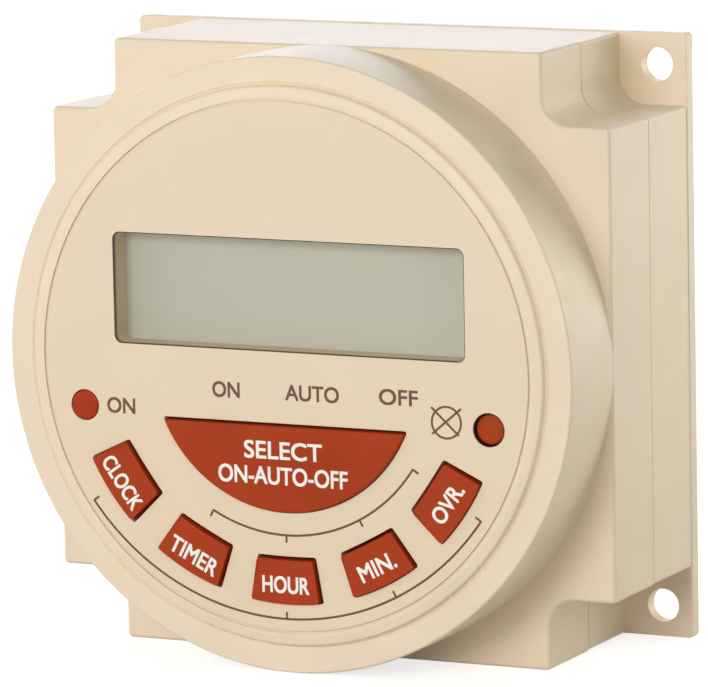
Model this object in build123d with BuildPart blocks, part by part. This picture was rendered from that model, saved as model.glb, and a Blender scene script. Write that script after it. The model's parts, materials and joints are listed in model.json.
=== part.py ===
from build123d import *
from math import asin, cos, degrees, radians, sin, sqrt
import os

# Panel-mount electronic time switch, in millimetres.
# The origin is the centre of the back mounting plane, X is to the right of someone facing the
# timer, Z is up and the face looks towards -Y. A depth is measured forward from the back plane.

# Body and ears
body_size = 76.2
body_depth = 26.0
seam_depth = 14.0
wall = 2.0
notch = 8.9
notch_round = 3.4
corner_round = 0.6
edge_round = 0.5
ear_thickness = 1.9
hole_inset = 3.97
mount_hole_d = 4.2

# Tongue and groove at the seam
tongue_thickness = 0.8
tongue_length = 1.6
seam_fit = 0.15

# Drum on the front, with a flat rim and a raised collar round the face plate
drum_margin = 0.1
drum_height = 12.2
rim_width = 3.3
rim_round = 0.6
collar_rise = 0.75
collar_slope_width = 1.4
collar_land = 0.4

# Face plate and the ledge that it lies on
plate_thickness = 2.0
plate_gap = 0.25
plate_edge_round = 0.25
ledge_width = 1.3
ledge_thickness = 1.5

# Window in the face plate, a little to the right of the middle
window_side_margin = 8.85
window_h = 13.9
window_x = 0.7
window_z = 8.85
window_round = 1.0
window_depth = 3.3
bezel_wall = 1.3

# Keys: one wide segment and five on an arc, counted from the left
select_chord_z = -6.9
select_to_arc = 5.6
arc_key_depth = 5.8
arc_key_margin = 3.25
arc_key_span = 19.3
arc_key_pitch = 27.6
arc_key_names = ["clock", "timer", "hour", "minute", "override"]
key_corner_round = 0.5
key_edge_round = 0.3
key_gap = 0.12
key_slack = 0.3
key_proud = 0.5
key_travel = 0.5
flange_overlap = 0.6
flange_thickness = 1.0
flange_gap = 0.1
stem_d = 2.6

# Reset button on the right and indicator lens on the left
lamp_margin = 5.2
lamp_z = -6.1
lens_d = 3.7
lens_gap = 0.1
lens_flange_d = 5.0
lens_flange_thickness = 0.8
lens_to_led = 0.3
reset_d = 3.8
reset_gap = 0.2
reset_sunk = 0.5
reset_flange_d = 5.2

# Guide pins under the wide key
guide_inset = 7.5
guide_z = -9.6
guide_d = 1.8
guide_fit = 0.2
guide_engagement = 1.1

# Control board, carried by four posts behind the face plate
board_thickness = 1.6
control_board_gap = 2.6
post_length = 6.95
upper_post_inset = 2.6
upper_post_angle = 57.7
upper_post_d = 3.6
lower_post_d = 3.0

# Screws
small_shank_d = 2.0
small_head_d = 3.6
small_head_height = 1.4
small_head_round = 0.45
small_screw_bite = 4.5
case_shank_d = 2.9
case_head_d = 5.2
case_head_height = 1.8
case_head_round = 0.6
case_head_sunk = 0.8
case_screw_bite = 8.0
case_screw_inset = 5.7
case_boss_d = 7.0
thread_fit = 0.03
clearance_fit = 0.15
driver_slot_width = 0.7
driver_slot_depth = 0.7
driver_slot_margin = 0.9

# Tactile switches
switch_size = 6.0
switch_corner_round = 0.3
switch_height = 3.5
switch_cover_thickness = 0.3
switch_floor = 0.6
plunger_height = 4.3
plunger_d = 3.5
plunger_base_d = 4.8
plunger_base_thickness = 0.6
plunger_nub_d = 1.6
plunger_nub_length = 0.5
plunger_fit = 0.12
plunger_end_play = 0.05
dome_d = 4.6
dome_height = 0.7
dome_thickness = 0.1

# Display
glass_margin_x = 1.2
glass_margin_z = 1.55
contact_ledge = 1.9
glass_thickness = 1.1
polarizer_thickness = 0.25
polarizer_margin = 0.9
reflector_thickness = 0.2
glass_fit = 0.2
holder_wall = 1.2
holder_lip = 0.7
holder_shelf_x = 4.0
holder_shelf_z = 2.1
zebra_width = 1.5
zebra_end_margin = 2.0
zebra_fit = 0.1

# Terminal well in the back, with blade terminals
well_h = 11.6
well_to_board_edge = 4.2
well_to_front = 17.0
well_wall = 1.6
well_round = 0.8
terminal_count = 5
terminal_pitch = 10.0
terminal_width = 6.35
terminal_thickness = 0.8
terminal_recess = 1.0
terminal_tip_chamfer = 1.0
terminal_hole_d = 1.7
terminal_hole_from_tip = 4.1
terminal_leg_width = 1.4
terminal_leg_spacing = 4.2
terminal_leg_out = 0.8
terminal_fit = 0.15

# Power board on four posts of the rear housing
power_board_side_gap = 3.1
power_board_notch_gap = 0.8
power_board_standoff = 0.4
power_post_inset_x = 3.5
power_post_inset_z = 4.4
power_post_d = 4.8

# Relay
relay_to_board_edge = 12.4
relay_length = 25.0
relay_width = 12.5
relay_height = 12.5
relay_case_wall = 0.7
relay_case_round = 0.7
relay_case_edge_round = 0.35
relay_case_lift = 0.2
relay_base_thickness = 1.5
relay_fit = 0.1
yoke_thickness = 1.2
yoke_width = 9.0
yoke_length = 14.5
yoke_end_clearance = 2.6
yoke_top_clearance = 0.4
core_d = 3.2
core_fit = 0.05
core_stick_out = 0.4
bobbin_flange = 7.6
bobbin_flange_thickness = 0.8
bobbin_tube_wall = 0.6
bobbin_length = 12.6
winding_d = 7.0
pole_gap = 0.6
armature_thickness = 1.0
armature_width = 8.0
armature_length = 8.4
contact_leaf_thickness = 0.2
contact_leaf_width = 4.0
contact_leaf_length = 4.2
contact_reach = 5.2
contact_margin = 0.5
contact_drop = 2.8
contact_d = 2.4
contact_thickness = 0.6
contact_gap = 0.5
fixed_blade_thickness = 0.4
relay_pin_d = 1.0
relay_pin_inset = 1.6
relay_pin_spacing = 8.3

# Other parts on the power board
screw_head_gap = 1.6
dropper_size = (18.0, 8.0, 12.5)
dropper_to_board_edge = 9.4
can_edge_round = 0.5
filter_d = 8.0
filter_height = 11.0
filter_to_board_edge = 7.0
filter_z = 3.0
varistor_d = 10.0
varistor_thickness = 4.2
varistor_round = 1.0
varistor_lift = 0.6
varistor_at = (-18.0, -6.0)
lead_d = 0.7
lead_spacing = 5.0
diode_d = 2.7
diode_length = 5.2
diode_at = (-4.0, -9.0)
diode_spacing = (10.0, 4.2)
resistor_d = 4.0
resistor_length = 11.0
resistor_at = (14.0, -11.5)
axial_lead_reach = 1.4

# Link between the two boards
link_at = (14.0, -4.0)
link_ways = 6
link_pitch = 2.54
link_width = 2.5
link_header_height = 2.5
link_socket_height = 8.5
link_pin = 0.64
link_pin_length = 13.6
link_pin_tail = 2.4
link_fit = 0.05
link_socket_fit = 0.1

# Parts on the back of the control board
cell_d = 20.0
cell_thickness = 3.2
cell_edge_round = 0.4
cell_to_board_edge = 14.4
cell_z = -2.0
clip_thickness = 0.4
clip_fit = 0.1
clip_claw_span = 50.0
clip_claw_reach = 0.8
clip_claw_count = 3
chip_size = 10.0
chip_thickness = 1.6
chip_edge_round = 0.1
chip_lift = 0.1
chip_at = (2.0, 10.0)
chip_lead_count = 11
chip_lead_pitch = 0.8
chip_lead_width = 0.35
chip_lead_length = 1.2
chip_lead_thickness = 0.2
crystal_d = 2.0
crystal_length = 6.0
crystal_end_round = 0.4
crystal_at = (14.5, 12.0)
component_size = (2.0, 1.25, 0.8)
component_at = (2.0, -14.0)
component_spacing = (4.0, 3.2)
led_d = 3.0
led_dome_round = 1.35
led_base_d = 3.8
led_base_height = 1.0

# Radii that follow from the body's size, from the drum inwards
drum_r = body_size / 2 - drum_margin
collar_foot_r = drum_r - rim_width
collar_top_r = collar_foot_r - collar_slope_width
collar_hole_r = collar_top_r - collar_land
ledge_hole_r = collar_hole_r - ledge_width
plate_r = collar_hole_r - plate_gap
arc_key_outer_r = plate_r - arc_key_margin
arc_key_inner_r = arc_key_outer_r - arc_key_depth
arc_key_r = (arc_key_inner_r + arc_key_outer_r) / 2
select_r = arc_key_inner_r - select_to_arc
lamp_x = plate_r - lamp_margin
guide_x = select_r - guide_inset

# Depths that follow from the sizes above
rim_depth = body_depth + drum_height
face_depth = rim_depth + collar_rise
plate_back = face_depth - plate_thickness
flange_front = plate_back - flange_gap
flange_back = flange_front - flange_thickness
control_front = plate_back - post_length
control_back = control_front - board_thickness
plunger_top = control_front + plunger_height
switch_top = control_front + switch_height
display_front = face_depth - window_depth
front_glass_front = display_front - polarizer_thickness
front_glass_back = front_glass_front - glass_thickness
rear_glass_back = front_glass_back - glass_thickness
shelf_front = rear_glass_back - reflector_thickness
well_depth = body_depth - well_to_front
well_floor_front = well_depth + well_wall
power_back = well_floor_front + power_board_standoff
power_front = power_back + board_thickness

# Outlines that follow from the sizes above
hole_spacing = body_size - 2 * hole_inset
control_board_r = drum_r - wall - control_board_gap
power_board_w = body_size - 2 * (wall + power_board_side_gap)
power_board_h = body_size - 2 * (notch + wall + power_board_notch_gap)
well_w = terminal_count * terminal_pitch
well_z = well_to_board_edge - power_board_h / 2
window_w = 2 * (plate_r - window_side_margin)
glass_w = window_w + 2 * glass_margin_x
front_glass_h = window_h + 2 * glass_margin_z
rear_glass_h = front_glass_h - 2 * contact_ledge
zebra_length = glass_w - 2 * zebra_end_margin
zebra_z = rear_glass_h / 2 + glass_fit + zebra_width / 2

# Places that follow from the sizes above
arc_key_angles = [-90 + arc_key_pitch * (i - 2) for i in range(5)]
select_switch_at = (0, -(select_r - select_chord_z) / 2)
arc_switch_at = [
    (arc_key_r * cos(radians(a)), arc_key_r * sin(radians(a))) for a in arc_key_angles
]
switch_at = [select_switch_at, *arc_switch_at, (lamp_x, lamp_z)]
key_names = ["select", *arc_key_names, "reset"]
upper_post_r = ledge_hole_r - upper_post_inset
upper_post_x = upper_post_r * cos(radians(upper_post_angle))
upper_post_z = upper_post_r * sin(radians(upper_post_angle))
lower_post_r = (select_r + arc_key_inner_r) / 2
lower_post_angle = 1.5 * arc_key_pitch
post_at = [(side * upper_post_x, upper_post_z) for side in (-1, 1)] + [
    (
        side * lower_post_r * sin(radians(lower_post_angle)),
        -lower_post_r * cos(radians(lower_post_angle)),
    )
    for side in (-1, 1)
]
case_screw_x = body_size / 2 - notch - case_screw_inset
case_screw_z = body_size / 2 - case_screw_inset
case_screw_at = [(sx * case_screw_x, sz * case_screw_z) for sx in (-1, 1) for sz in (-1, 1)]
power_post_x = power_board_w / 2 - power_post_inset_x
power_post_z = power_board_h / 2 - power_post_inset_z
power_post_at = [(sx * power_post_x, sz * power_post_z) for sx in (-1, 1) for sz in (-1, 1)]
terminal_xs = [terminal_pitch * (i - (terminal_count - 1) / 2) for i in range(terminal_count)]
parts_reach = power_post_x - small_head_d / 2 - screw_head_gap
relay_x = parts_reach - relay_length / 2
relay_z = power_board_h / 2 - relay_to_board_edge
dropper_at = (dropper_size[0] / 2 - parts_reach, power_board_h / 2 - dropper_to_board_edge)
filter_at = (filter_to_board_edge - power_board_w / 2, filter_z)
cell_at = (cell_to_board_edge - control_board_r, cell_z)


def at(depth):
    """The plane parallel to the face, so many millimetres in front of the back plane."""
    return Plane.XZ.offset(depth)


def save(piece, name):
    """Names a finished piece and writes it under that name."""
    piece.part.label = name
    export_step(piece.part, f"parts/{name}.step")


def polar(radius, angle):
    """The point at a radius and an angle in degrees."""
    return (radius * cos(radians(angle)), radius * sin(radians(angle)))


def outline(inset=0.0):
    """The square body seen from the front, less its notched corners, drawn in by the inset."""
    with BuildSketch() as shape:
        Rectangle(body_size, body_size)
        with GridLocations(body_size, body_size, 2, 2):
            Rectangle(2 * notch, 2 * notch, mode=Mode.SUBTRACT)
        fillet(vertices().sort_by_distance((0, 0, 0))[:4], notch_round)
        fillet(vertices().sort_by_distance((0, 0, 0))[-8:], corner_round)
        if inset:
            offset(amount=-inset, kind=Kind.INTERSECTION, mode=Mode.REPLACE)
    return shape.sketch


def sector(inner, outer, low, high, corner=0.0):
    """A piece of a ring between two angles, with rounded corners."""
    with BuildSketch() as shape:
        with BuildLine():
            CenterArc((0, 0), outer, low, high - low)
            Line(polar(outer, high), polar(inner, high))
            CenterArc((0, 0), inner, low, high - low)
            Line(polar(inner, low), polar(outer, low))
        make_face()
        if corner:
            fillet(vertices(), corner)
    return shape.sketch


def segment(radius, chord_z, corner):
    """The part of a disc below a level chord, with rounded corners."""
    reach = degrees(asin(chord_z / radius))
    with BuildSketch() as shape:
        with BuildLine():
            CenterArc((0, 0), radius, 180 - reach, 180 + 2 * reach)
            Line(polar(radius, 180 - reach), polar(radius, reach))
        make_face()
        fillet(vertices(), corner)
    return shape.sketch


def arc_key_sector(angle, inner_gap, outer_gap, low_gap, high_gap):
    """A key on the arc, smaller than its opening by the gap on each side."""
    low = angle - arc_key_span / 2 + degrees(low_gap / arc_key_r)
    high = angle + arc_key_span / 2 - degrees(high_gap / arc_key_r)
    inner, outer = arc_key_inner_r + inner_gap, arc_key_outer_r - outer_gap
    return sector(inner, outer, low, high, key_corner_round)


def side_panel(x_low, x_high, depth_low, depth_high):
    """A rectangle drawn from the side, between two places along X and two depths."""
    middle = ((x_low + x_high) / 2, -(depth_low + depth_high) / 2)
    with Locations(middle):
        Rectangle(x_high - x_low, depth_high - depth_low)


def screws(places, shoulder, tip, shank_d, head_d, head_height, head_round):
    """Pan-head screws from the depth under the head to the depth of the tip."""
    way = 1 if tip > shoulder else -1
    head_end = shoulder - way * head_height
    with BuildPart() as group:
        with BuildSketch(at(shoulder)):
            with Locations(*places):
                Circle(head_d / 2)
        extrude(amount=-way * head_height)
        rims = edges().group_by(Axis.Y)[-1 if way > 0 else 0]
        fillet(rims, head_round)
        slot_length = head_d - 2 * driver_slot_margin
        with BuildSketch(at(head_end)):
            with Locations(*places):
                Rectangle(driver_slot_width, slot_length)
                Rectangle(slot_length, driver_slot_width)
        extrude(amount=way * driver_slot_depth, mode=Mode.SUBTRACT)
        with BuildSketch(at(shoulder)):
            with Locations(*places):
                Circle(shank_d / 2)
        extrude(amount=tip - shoulder)
    return group


def axial_part(diameter, length):
    """A cylinder lying along X over the origin, with two leads bent down to the board at y = 0."""
    height, reach = diameter / 2 + lead_d / 2, length / 2 + axial_lead_reach
    with BuildPart() as piece:
        with BuildLine() as wire:
            FilletPolyline((-reach, 0), (-reach, -height), (reach, -height), (reach, 0), radius=lead_d)
        with BuildSketch(Plane(origin=wire.line @ 0, z_dir=wire.line % 0)):
            Circle(lead_d / 2)
        sweep(path=wire.line)
        with BuildSketch(Plane.YZ.offset(-length / 2)):
            with Locations((-height, 0)):
                Circle(diameter / 2)
        extrude(amount=length)
    return piece.part


os.makedirs("parts", exist_ok=True)

# Front housing: half of the square body, with the drum and its collar
ledge_back = plate_back - ledge_thickness
body_front_inside = body_depth - wall
with BuildPart() as front_housing:
    with BuildSketch(at(seam_depth)):
        add(outline())
    extrude(amount=body_depth - seam_depth)
    fillet(faces().sort_by(Axis.Y)[0].edges(), edge_round)
    with BuildSketch(Plane.XY):
        with BuildLine():
            Polyline(
                (0, -body_front_inside),
                (drum_r, -body_front_inside),
                (drum_r, -rim_depth),
                (collar_foot_r, -rim_depth),
                (collar_top_r, -face_depth),
                (0, -face_depth),
                close=True,
            )
        make_face()
        fillet(vertices().sort_by_distance((drum_r, -rim_depth, 0))[0], rim_round)
    revolve(axis=Axis.Y)
    with BuildSketch(at(seam_depth)):
        add(outline(wall))
    extrude(amount=body_front_inside - seam_depth, mode=Mode.SUBTRACT)
    with BuildSketch(at(body_front_inside)):
        Circle(drum_r - wall)
    extrude(amount=ledge_back - body_front_inside, mode=Mode.SUBTRACT)
    with BuildSketch(at(ledge_back)):
        Circle(ledge_hole_r)
    extrude(amount=face_depth - ledge_back, mode=Mode.SUBTRACT)
    with BuildSketch(at(plate_back)):
        Circle(collar_hole_r)
    extrude(amount=face_depth - plate_back, mode=Mode.SUBTRACT)
    with BuildSketch(at(seam_depth)):
        with Locations(*case_screw_at):
            Circle(case_boss_d / 2)
    extrude(amount=body_front_inside - seam_depth)
    with BuildSketch(at(seam_depth - tongue_length)):
        add(outline(wall - tongue_thickness))
        add(outline(wall), mode=Mode.SUBTRACT)
    extrude(amount=tongue_length)
    with BuildSketch(at(seam_depth)):
        with Locations(*case_screw_at):
            Circle(case_shank_d / 2 + thread_fit)
    extrude(amount=case_screw_bite + clearance_fit, mode=Mode.SUBTRACT)
save(front_housing, "front_housing")

# Rear housing: the other half, with the four ears and the terminal well
groove_depth = tongue_length + seam_fit
with BuildPart() as rear_housing:
    with BuildSketch(at(0)):
        add(outline())
    extrude(amount=seam_depth)
    with BuildSketch(at(0)):
        RectangleRounded(body_size, body_size, corner_round)
    extrude(amount=ear_thickness)
    with BuildSketch(at(wall)):
        add(outline(wall))
    extrude(amount=seam_depth - wall, mode=Mode.SUBTRACT)
    with BuildSketch(at(wall)):
        with Locations(*case_screw_at):
            Circle(case_boss_d / 2)
    extrude(amount=seam_depth - wall)
    with BuildSketch(at(seam_depth - groove_depth)):
        add(outline(wall - tongue_thickness - seam_fit))
        add(outline(wall + seam_fit), mode=Mode.SUBTRACT)
    extrude(amount=groove_depth, mode=Mode.SUBTRACT)
    with BuildSketch(at(wall)):
        with Locations((0, well_z)):
            Rectangle(well_w + 2 * well_wall, well_h + 2 * well_wall)
    extrude(amount=well_floor_front - wall)
    with BuildSketch(at(0)):
        with Locations((0, well_z)):
            RectangleRounded(well_w, well_h, well_round)
    extrude(amount=well_depth, mode=Mode.SUBTRACT)
    with BuildSketch(at(well_depth)):
        with Locations(*[(x, well_z) for x in terminal_xs]):
            Rectangle(terminal_width + 2 * terminal_fit, terminal_thickness + 2 * terminal_fit)
    extrude(amount=well_wall, mode=Mode.SUBTRACT)
    with BuildSketch(at(wall)):
        with Locations(*power_post_at):
            Circle(power_post_d / 2)
    extrude(amount=power_back - wall)
    with BuildSketch(at(power_back)):
        with Locations(*power_post_at):
            Circle(small_shank_d / 2 + thread_fit)
    extrude(amount=-(small_screw_bite + clearance_fit), mode=Mode.SUBTRACT)
    with Locations(Plane.ZX):
        with GridLocations(hole_spacing, hole_spacing, 2, 2):
            Hole(mount_hole_d / 2, depth=ear_thickness)
        with GridLocations(2 * case_screw_z, 2 * case_screw_x, 2, 2):
            CounterBoreHole(
                case_shank_d / 2 + clearance_fit,
                case_head_d / 2 + clearance_fit,
                case_head_sunk + case_head_height,
                depth=seam_depth,
            )
save(rear_housing, "rear_housing")

# Case screws, driven from the back
case_shoulder = case_head_sunk + case_head_height
housing_screws = screws(
    case_screw_at,
    case_shoulder,
    seam_depth + case_screw_bite,
    case_shank_d,
    case_head_d,
    case_head_height,
    case_head_round,
)
save(housing_screws, "housing_screws")

# Face plate with its openings, the bezel round the window and the posts for the control board
select_opening = segment(select_r, select_chord_z, key_corner_round)
arc_openings = [arc_key_sector(angle, 0, 0, 0, 0) for angle in arc_key_angles]
post_ds = [upper_post_d, upper_post_d, lower_post_d, lower_post_d]
with BuildPart() as face_plate:
    with BuildSketch(at(plate_back)):
        Circle(plate_r)
    extrude(amount=plate_thickness)
    fillet(faces().sort_by(Axis.Y)[0].edges(), plate_edge_round)
    with BuildSketch(at(display_front)):
        with Locations((window_x, window_z)):
            RectangleRounded(window_w + 2 * bezel_wall, window_h + 2 * bezel_wall, window_round + bezel_wall)
    extrude(amount=plate_back - display_front)
    with BuildSketch(at(control_front)):
        for place, post_d in zip(post_at, post_ds):
            with Locations(place):
                Circle(post_d / 2)
    extrude(amount=post_length)
    with BuildSketch(at(display_front)):
        with Locations((window_x, window_z)):
            RectangleRounded(window_w, window_h, window_round)
    extrude(amount=window_depth, mode=Mode.SUBTRACT)
    with BuildSketch(at(plate_back)):
        add(select_opening)
        for opening in arc_openings:
            add(opening)
        with Locations((-lamp_x, lamp_z)):
            Circle(lens_d / 2 + lens_gap)
        with Locations((lamp_x, lamp_z)):
            Circle(reset_d / 2 + reset_gap)
    extrude(amount=plate_thickness, mode=Mode.SUBTRACT)
    with BuildSketch(at(control_front)):
        with Locations(*post_at):
            Circle(small_shank_d / 2 + thread_fit)
    extrude(amount=small_screw_bite + clearance_fit, mode=Mode.SUBTRACT)
save(face_plate, "face_plate")

# Wide key, with a guide pin under each end
key_front = face_depth + key_proud
with BuildPart() as select_key:
    with BuildSketch(at(flange_back)):
        add(segment(select_r + flange_overlap, select_chord_z + flange_overlap, key_corner_round))
    extrude(amount=flange_thickness)
    with BuildSketch(at(flange_front)):
        add(segment(select_r - key_gap, select_chord_z - key_gap - key_slack, key_corner_round))
    extrude(amount=key_front - flange_front)
    fillet(faces().sort_by(Axis.Y)[0].edges(), key_edge_round)
    with BuildSketch(at(plunger_top)):
        with Locations(select_switch_at):
            Circle(stem_d / 2)
    extrude(amount=flange_back - plunger_top)
    with BuildSketch(at(control_front - guide_engagement)):
        with Locations((-guide_x, guide_z), (guide_x, guide_z)):
            Circle(guide_d / 2)
    extrude(amount=flange_back - control_front + guide_engagement)
save(select_key, "select_key")

# The five keys on the arc
for key_name, angle, place in zip(arc_key_names, arc_key_angles, arc_switch_at):
    with BuildPart() as arc_key:
        with BuildSketch(at(flange_back)):
            add(arc_key_sector(angle, *[-flange_overlap] * 4))
        extrude(amount=flange_thickness)
        with BuildSketch(at(flange_front)):
            add(arc_key_sector(angle, key_gap + key_slack, key_gap, key_gap, key_gap + key_slack))
        extrude(amount=key_front - flange_front)
        fillet(faces().sort_by(Axis.Y)[0].edges(), key_edge_round)
        with BuildSketch(at(plunger_top)):
            with Locations(place):
                Circle(stem_d / 2)
        extrude(amount=flange_back - plunger_top)
    save(arc_key, f"{key_name}_key")

# Reset button, sunk below the face
with BuildPart() as reset_button:
    with BuildSketch(at(plunger_top)):
        with Locations((lamp_x, lamp_z)):
            Circle(stem_d / 2)
    extrude(amount=flange_back - plunger_top)
    with BuildSketch(at(flange_back)):
        with Locations((lamp_x, lamp_z)):
            Circle(reset_flange_d / 2)
    extrude(amount=flange_thickness)
    with BuildSketch(at(flange_front)):
        with Locations((lamp_x, lamp_z)):
            Circle(reset_d / 2)
    extrude(amount=face_depth - reset_sunk - flange_front)
    fillet(faces().sort_by(Axis.Y)[0].edges(), key_edge_round)
save(reset_button, "reset_button")

# Indicator lens, a short light pipe with a flange behind the plate, and the lamp under it
lens_back = plate_back - lens_flange_thickness
led_top = lens_back - lens_to_led
with BuildPart() as indicator_lens:
    with BuildSketch(at(lens_back)):
        with Locations((-lamp_x, lamp_z)):
            Circle(lens_flange_d / 2)
    extrude(amount=lens_flange_thickness)
    with BuildSketch(at(plate_back)):
        with Locations((-lamp_x, lamp_z)):
            Circle(lens_d / 2)
    extrude(amount=plate_thickness)
    fillet(faces().sort_by(Axis.Y)[0].edges(), key_edge_round)
save(indicator_lens, "indicator_lens")

with BuildPart() as indicator_led:
    with BuildSketch(at(control_front)):
        with Locations((-lamp_x, lamp_z)):
            Circle(led_base_d / 2)
    extrude(amount=led_base_height)
    with BuildSketch(at(control_front)):
        with Locations((-lamp_x, lamp_z)):
            Circle(led_d / 2)
    extrude(amount=led_top - control_front)
    fillet(faces().sort_by(Axis.Y)[0].edges(), led_dome_round)
save(indicator_led, "indicator_led")

# Tactile switches: bodies, metal covers and snap domes, seven of each
cover_back = switch_top - switch_cover_thickness
dome_floor = control_front + switch_floor
with BuildPart() as key_switches:
    with BuildSketch(at(control_front)):
        with Locations(*switch_at):
            Rectangle(switch_size, switch_size)
    extrude(amount=cover_back - control_front)
    with BuildSketch(at(dome_floor)):
        with Locations(*switch_at):
            Circle(plunger_base_d / 2 + plunger_fit)
    extrude(amount=cover_back - dome_floor, mode=Mode.SUBTRACT)
save(key_switches, "key_switches")

with BuildPart() as switch_covers:
    with BuildSketch(at(cover_back)):
        with Locations(*switch_at):
            RectangleRounded(switch_size, switch_size, switch_corner_round)
            Circle(plunger_d / 2 + plunger_fit, mode=Mode.SUBTRACT)
    extrude(amount=switch_cover_thickness)
save(switch_covers, "switch_covers")

dome_r = dome_d / 2
dome_curve_r = (dome_r**2 + dome_height**2) / (2 * dome_height)
dome_half_angle = degrees(asin(dome_r / dome_curve_r))
dome_foot = dome_floor + dome_thickness * cos(radians(dome_half_angle))
with BuildPart() as dome:
    with BuildSketch(Plane.XY):
        with Locations((0, dome_curve_r - dome_height)):
            add(sector(dome_curve_r - dome_thickness, dome_curve_r, -90, -90 + dome_half_angle))
    revolve(axis=Axis.Y)
with BuildPart() as contact_domes:
    with Locations(*[(x, -dome_foot, z) for x, z in switch_at]):
        add(dome.part)
save(contact_domes, "contact_domes")

# The seven plungers, one under each key and button
base_front = cover_back - plunger_end_play
base_back = base_front - plunger_base_thickness
for key_name, place in zip(key_names, switch_at):
    with BuildPart() as plunger:
        with BuildSketch(at(base_back - plunger_nub_length)):
            with Locations(place):
                Circle(plunger_nub_d / 2)
        extrude(amount=plunger_nub_length)
        with BuildSketch(at(base_back)):
            with Locations(place):
                Circle(plunger_base_d / 2)
        extrude(amount=plunger_base_thickness)
        with BuildSketch(at(base_front)):
            with Locations(place):
                Circle(plunger_d / 2)
        extrude(amount=plunger_top - base_front)
    save(plunger, f"{key_name}_plunger")

# Display: two glasses between a polarizer and a reflector, in a holder with two rubber connectors
with BuildPart() as lcd_front_polarizer:
    with BuildSketch(at(front_glass_front)):
        with Locations((window_x, window_z)):
            Rectangle(window_w + 2 * polarizer_margin, window_h + 2 * polarizer_margin)
    extrude(amount=polarizer_thickness)
save(lcd_front_polarizer, "lcd_front_polarizer")

with BuildPart() as lcd_front_glass:
    with BuildSketch(at(front_glass_back)):
        with Locations((window_x, window_z)):
            Rectangle(glass_w, front_glass_h)
    extrude(amount=glass_thickness)
save(lcd_front_glass, "lcd_front_glass")

with BuildPart() as lcd_rear_glass:
    with BuildSketch(at(rear_glass_back)):
        with Locations((window_x, window_z)):
            Rectangle(glass_w, rear_glass_h)
    extrude(amount=glass_thickness)
save(lcd_rear_glass, "lcd_rear_glass")

with BuildPart() as lcd_reflector:
    with BuildSketch(at(shelf_front)):
        with Locations((window_x, window_z)):
            Rectangle(glass_w, rear_glass_h)
    extrude(amount=reflector_thickness)
save(lcd_reflector, "lcd_reflector")

pocket_w = glass_w + 2 * glass_fit
pocket_h = front_glass_h + 2 * glass_fit
holder_front = front_glass_back + holder_lip
with BuildPart() as lcd_holder:
    with BuildSketch(at(control_front)):
        with Locations((window_x, window_z)):
            RectangleRounded(pocket_w + 2 * holder_wall, pocket_h + 2 * holder_wall, holder_wall)
    extrude(amount=holder_front - control_front)
    with BuildSketch(at(shelf_front)):
        with Locations((window_x, window_z)):
            Rectangle(pocket_w, pocket_h)
    extrude(amount=holder_front - shelf_front, mode=Mode.SUBTRACT)
    with BuildSketch(at(control_front)):
        with Locations((window_x, window_z)):
            Rectangle(glass_w - 2 * holder_shelf_x, rear_glass_h - 2 * holder_shelf_z)
        with Locations((window_x, window_z - zebra_z), (window_x, window_z + zebra_z)):
            Rectangle(zebra_length + 2 * zebra_fit, zebra_width + 2 * zebra_fit)
    extrude(amount=shelf_front - control_front, mode=Mode.SUBTRACT)
save(lcd_holder, "lcd_holder")

with BuildPart() as zebra_strips:
    with BuildSketch(at(control_front)):
        with Locations((window_x, window_z - zebra_z), (window_x, window_z + zebra_z)):
            Rectangle(zebra_length, zebra_width)
    extrude(amount=front_glass_back - control_front)
save(zebra_strips, "zebra_strips")

# Control board and its screws
with BuildPart() as control_board:
    with BuildSketch(at(control_back)):
        Circle(control_board_r)
        with Locations(*post_at):
            Circle(small_shank_d / 2 + clearance_fit, mode=Mode.SUBTRACT)
        with Locations((-guide_x, guide_z), (guide_x, guide_z)):
            Circle(guide_d / 2 + guide_fit, mode=Mode.SUBTRACT)
    extrude(amount=board_thickness)
save(control_board, "control_board")

face_screws = screws(
    post_at,
    control_back,
    control_front + small_screw_bite,
    small_shank_d,
    small_head_d,
    small_head_height,
    small_head_round,
)
save(face_screws, "face_screws")

# Chip, its leads, the crystal and small parts on the back of the control board
chip_back = control_back - chip_lift - chip_thickness
with BuildPart() as control_chip:
    with BuildSketch(at(chip_back)):
        with Locations(chip_at):
            Rectangle(chip_size, chip_size)
    extrude(amount=chip_thickness)
    fillet(faces().sort_by(Axis.Y)[-1].edges(), chip_edge_round)
save(control_chip, "control_chip")

lead_offset = chip_size / 2 + chip_lead_length / 2
with BuildPart() as chip_leads:
    with BuildSketch(at(control_back - chip_lead_thickness)):
        with Locations(chip_at):
            for turn in range(4):
                with Locations(Rotation(0, 0, 90 * turn)):
                    with Locations((lead_offset, 0)):
                        with GridLocations(0, chip_lead_pitch, 1, chip_lead_count):
                            Rectangle(chip_lead_length, chip_lead_width)
    extrude(amount=chip_lead_thickness)
save(chip_leads, "chip_leads")

with BuildPart() as watch_crystal:
    with BuildSketch(Plane.YZ.offset(crystal_at[0] - crystal_length / 2)):
        with Locations((-(control_back - crystal_d / 2 - chip_lift), crystal_at[1])):
            Circle(crystal_d / 2)
    extrude(amount=crystal_length)
    fillet(faces().sort_by(Axis.X)[-1].edges(), crystal_end_round)
save(watch_crystal, "watch_crystal")

with BuildPart() as chip_components:
    with BuildSketch(at(control_back - component_size[2])):
        with Locations(component_at):
            with GridLocations(*component_spacing, 3, 3):
                Rectangle(component_size[0], component_size[1])
    extrude(amount=component_size[2])
save(chip_components, "chip_components")

# Backup cell and the clip that holds it
cell_r = cell_d / 2
cell_front = control_back - clip_thickness
cell_back = cell_front - cell_thickness
claw_inner = cell_r + clip_fit
with BuildPart() as backup_cell:
    with BuildSketch(at(cell_back)):
        with Locations(cell_at):
            Circle(cell_r)
    extrude(amount=cell_thickness)
    fillet(faces().sort_by(Axis.Y)[-1].edges(), cell_edge_round)
save(backup_cell, "backup_cell")

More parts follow.
